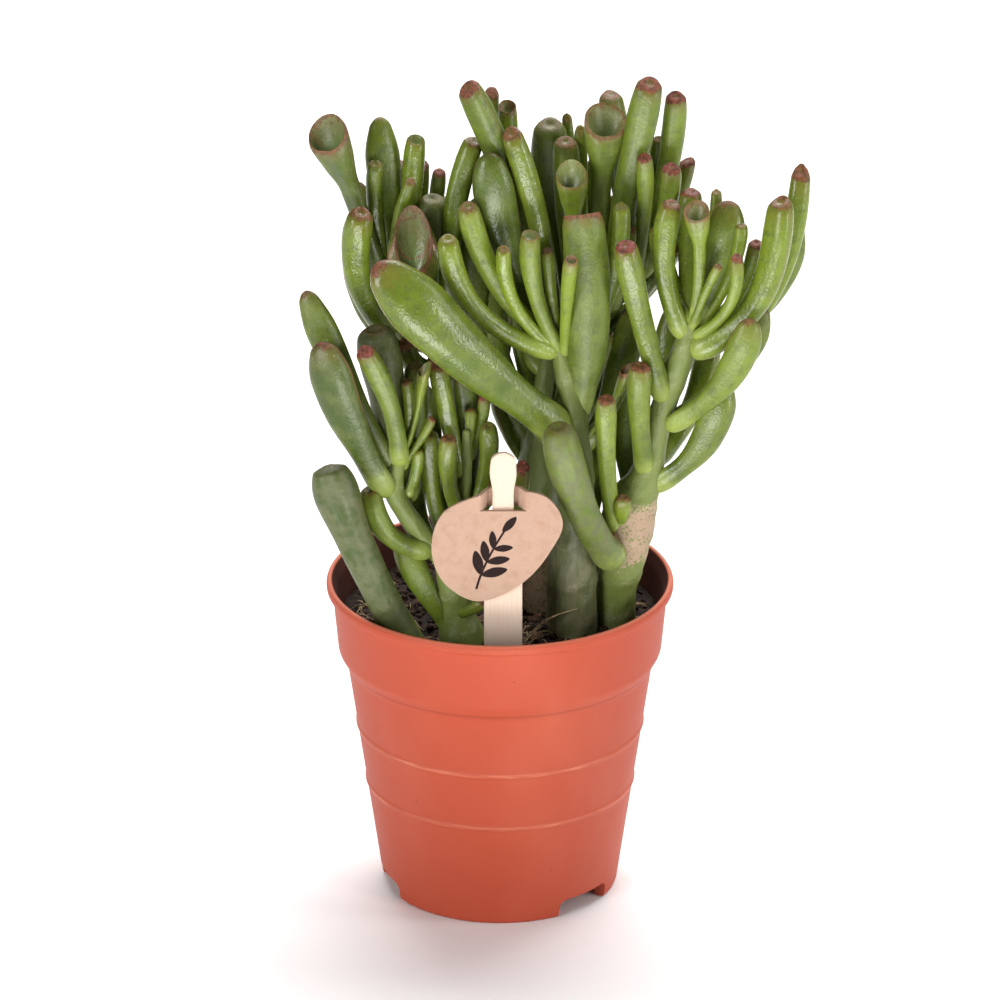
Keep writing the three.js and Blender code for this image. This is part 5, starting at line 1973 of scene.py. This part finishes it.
@dataclass
class Studio:
    """The floor, soft lights and the camera at the photograph's angle. The lamps are rows of name, place,
    width and height, power in watts, and whether it lies flat and looks up."""

    elevation: float = 23.04
    distance: float = 2.0
    target: float = 106.5 * MM
    focal: float = 7763.6
    image: float = 1000
    sensor: float = 36
    clip: Pair = (0.05, 100)
    floor_half: float = 20.0
    floor_color: Color = (0.92, 0.92, 0.92)
    sky: float = 0.15
    lamps: Sequence[Row] = (
        ("key", (-1.1, -1.3, 0.55), (0.55, 1.1), 21, False),
        ("strip", (1.26, -0.98, 0.22), (0.18, 0.7), 10, False),
        ("side", (1.5, -0.35, 0.75), (0.35, 1.2), 7, False),
        ("back", (0.2, 1.0, 1.7), (2.2, 1.4), 66, False),
        ("table", (0.0, -0.42, 0.01), (0.14, 0.44), 2.1, True),
    )

    def build(self) -> None:
        """Sets up the camera, the floor and the lights."""
        bpy.context.scene.view_settings.view_transform = "Standard"
        self.camera()
        self.floor()
        self.world()
        for row in self.lamps:
            self.lamp(*row)

    def camera(self) -> None:
        """A long lens on the object's middle, seen from the front and above."""
        data = bpy.data.cameras.new("camera")
        data.sensor_width = self.sensor
        data.lens = self.focal * self.sensor / self.image
        data.clip_start, data.clip_end = self.clip
        camera = linked("camera", data)
        rise = np.radians(self.elevation)
        camera.location = (0, -self.distance * np.cos(rise), self.target + self.distance * np.sin(rise))
        camera.rotation_euler = (np.pi / 2 - rise, 0, 0)
        bpy.context.scene.camera = camera

    def floor(self) -> None:
        """A wide pale floor."""
        mesh = bpy.data.meshes.new("floor")
        half = self.floor_half
        corners = [(-half, -half, 0), (half, -half, 0), (half, half, 0), (-half, half, 0)]
        mesh.from_pydata(corners, [], [(0, 1, 2, 3)])
        p = Palette("floor")
        mesh.materials.append(p.finish(Base_Color=self.floor_color, Roughness=0.9, Specular_IOR_Level=0.1))
        linked("floor", mesh)

    def world(self) -> None:
        """An even pale sky."""
        world = bpy.data.worlds.new("studio")
        world.use_nodes = True
        background = world.node_tree.nodes["Background"]
        background.inputs["Color"].default_value = (1.0, 1.0, 1.0, 1.0)
        background.inputs["Strength"].default_value = self.sky
        bpy.context.scene.world = world

    def lamp(self, name: str, place: Color, size: Pair, power: float, upward: bool) -> None:
        """A soft light that looks at the object's middle, or straight up.

        Args:
            name: its name.
            place: where it hangs.
            size: its width and height.
            power: its power in watts.
            upward: whether it lies flat and looks up.
        """
        data = bpy.data.lights.new(name, "AREA")
        data.shape = "RECTANGLE"
        data.size, data.size_y = size
        data.energy = power
        lamp = linked(name, data)
        lamp.location = place
        ahead = Vector((0, 0, self.target)) - Vector(place)
        lamp.rotation_euler = (np.pi, 0, 0) if upward else ahead.to_track_quat("-Z", "Y").to_euler()
        lamp.visible_camera = False


def main() -> None:
    """Builds the studio, then the pot, the soil, the plants and the tag."""
    logging.basicConfig(level=logging.INFO, format="%(name)s: %(message)s")
    Studio().build()
    pot = Pot()
    pot.build(MouldedPlastic().material(pot))
    soils = [
        PottingSoil("soil", srgb(26, 16, 11), srgb(64, 44, 30), 0.8 * MM),
        PottingSoil("crumbs", srgb(28, 17, 11), srgb(76, 52, 35), 0.5 * MM),
        PottingSoil("bark_bits", srgb(70, 48, 32), srgb(150, 116, 84), 0.6 * MM),
        PottingSoil("fibres", srgb(150, 124, 92), srgb(214, 192, 158), 0.4 * MM),
    ]
    Bed(pot).build([soil.material() for soil in soils])
    rule = HiddenRule()
    plants = garden()
    for plant in plants:
        plant.stand(rule)
    skins = [LeafSkin().material(), StemSkin().material()]
    for plant in plants:
        plant.build(rule, skins)
    stake = Stake()
    stake.build(Birch().material())
    Card(stake).build(KraftCard().material(Sprig()))


if __name__ == "__main__":
    main()
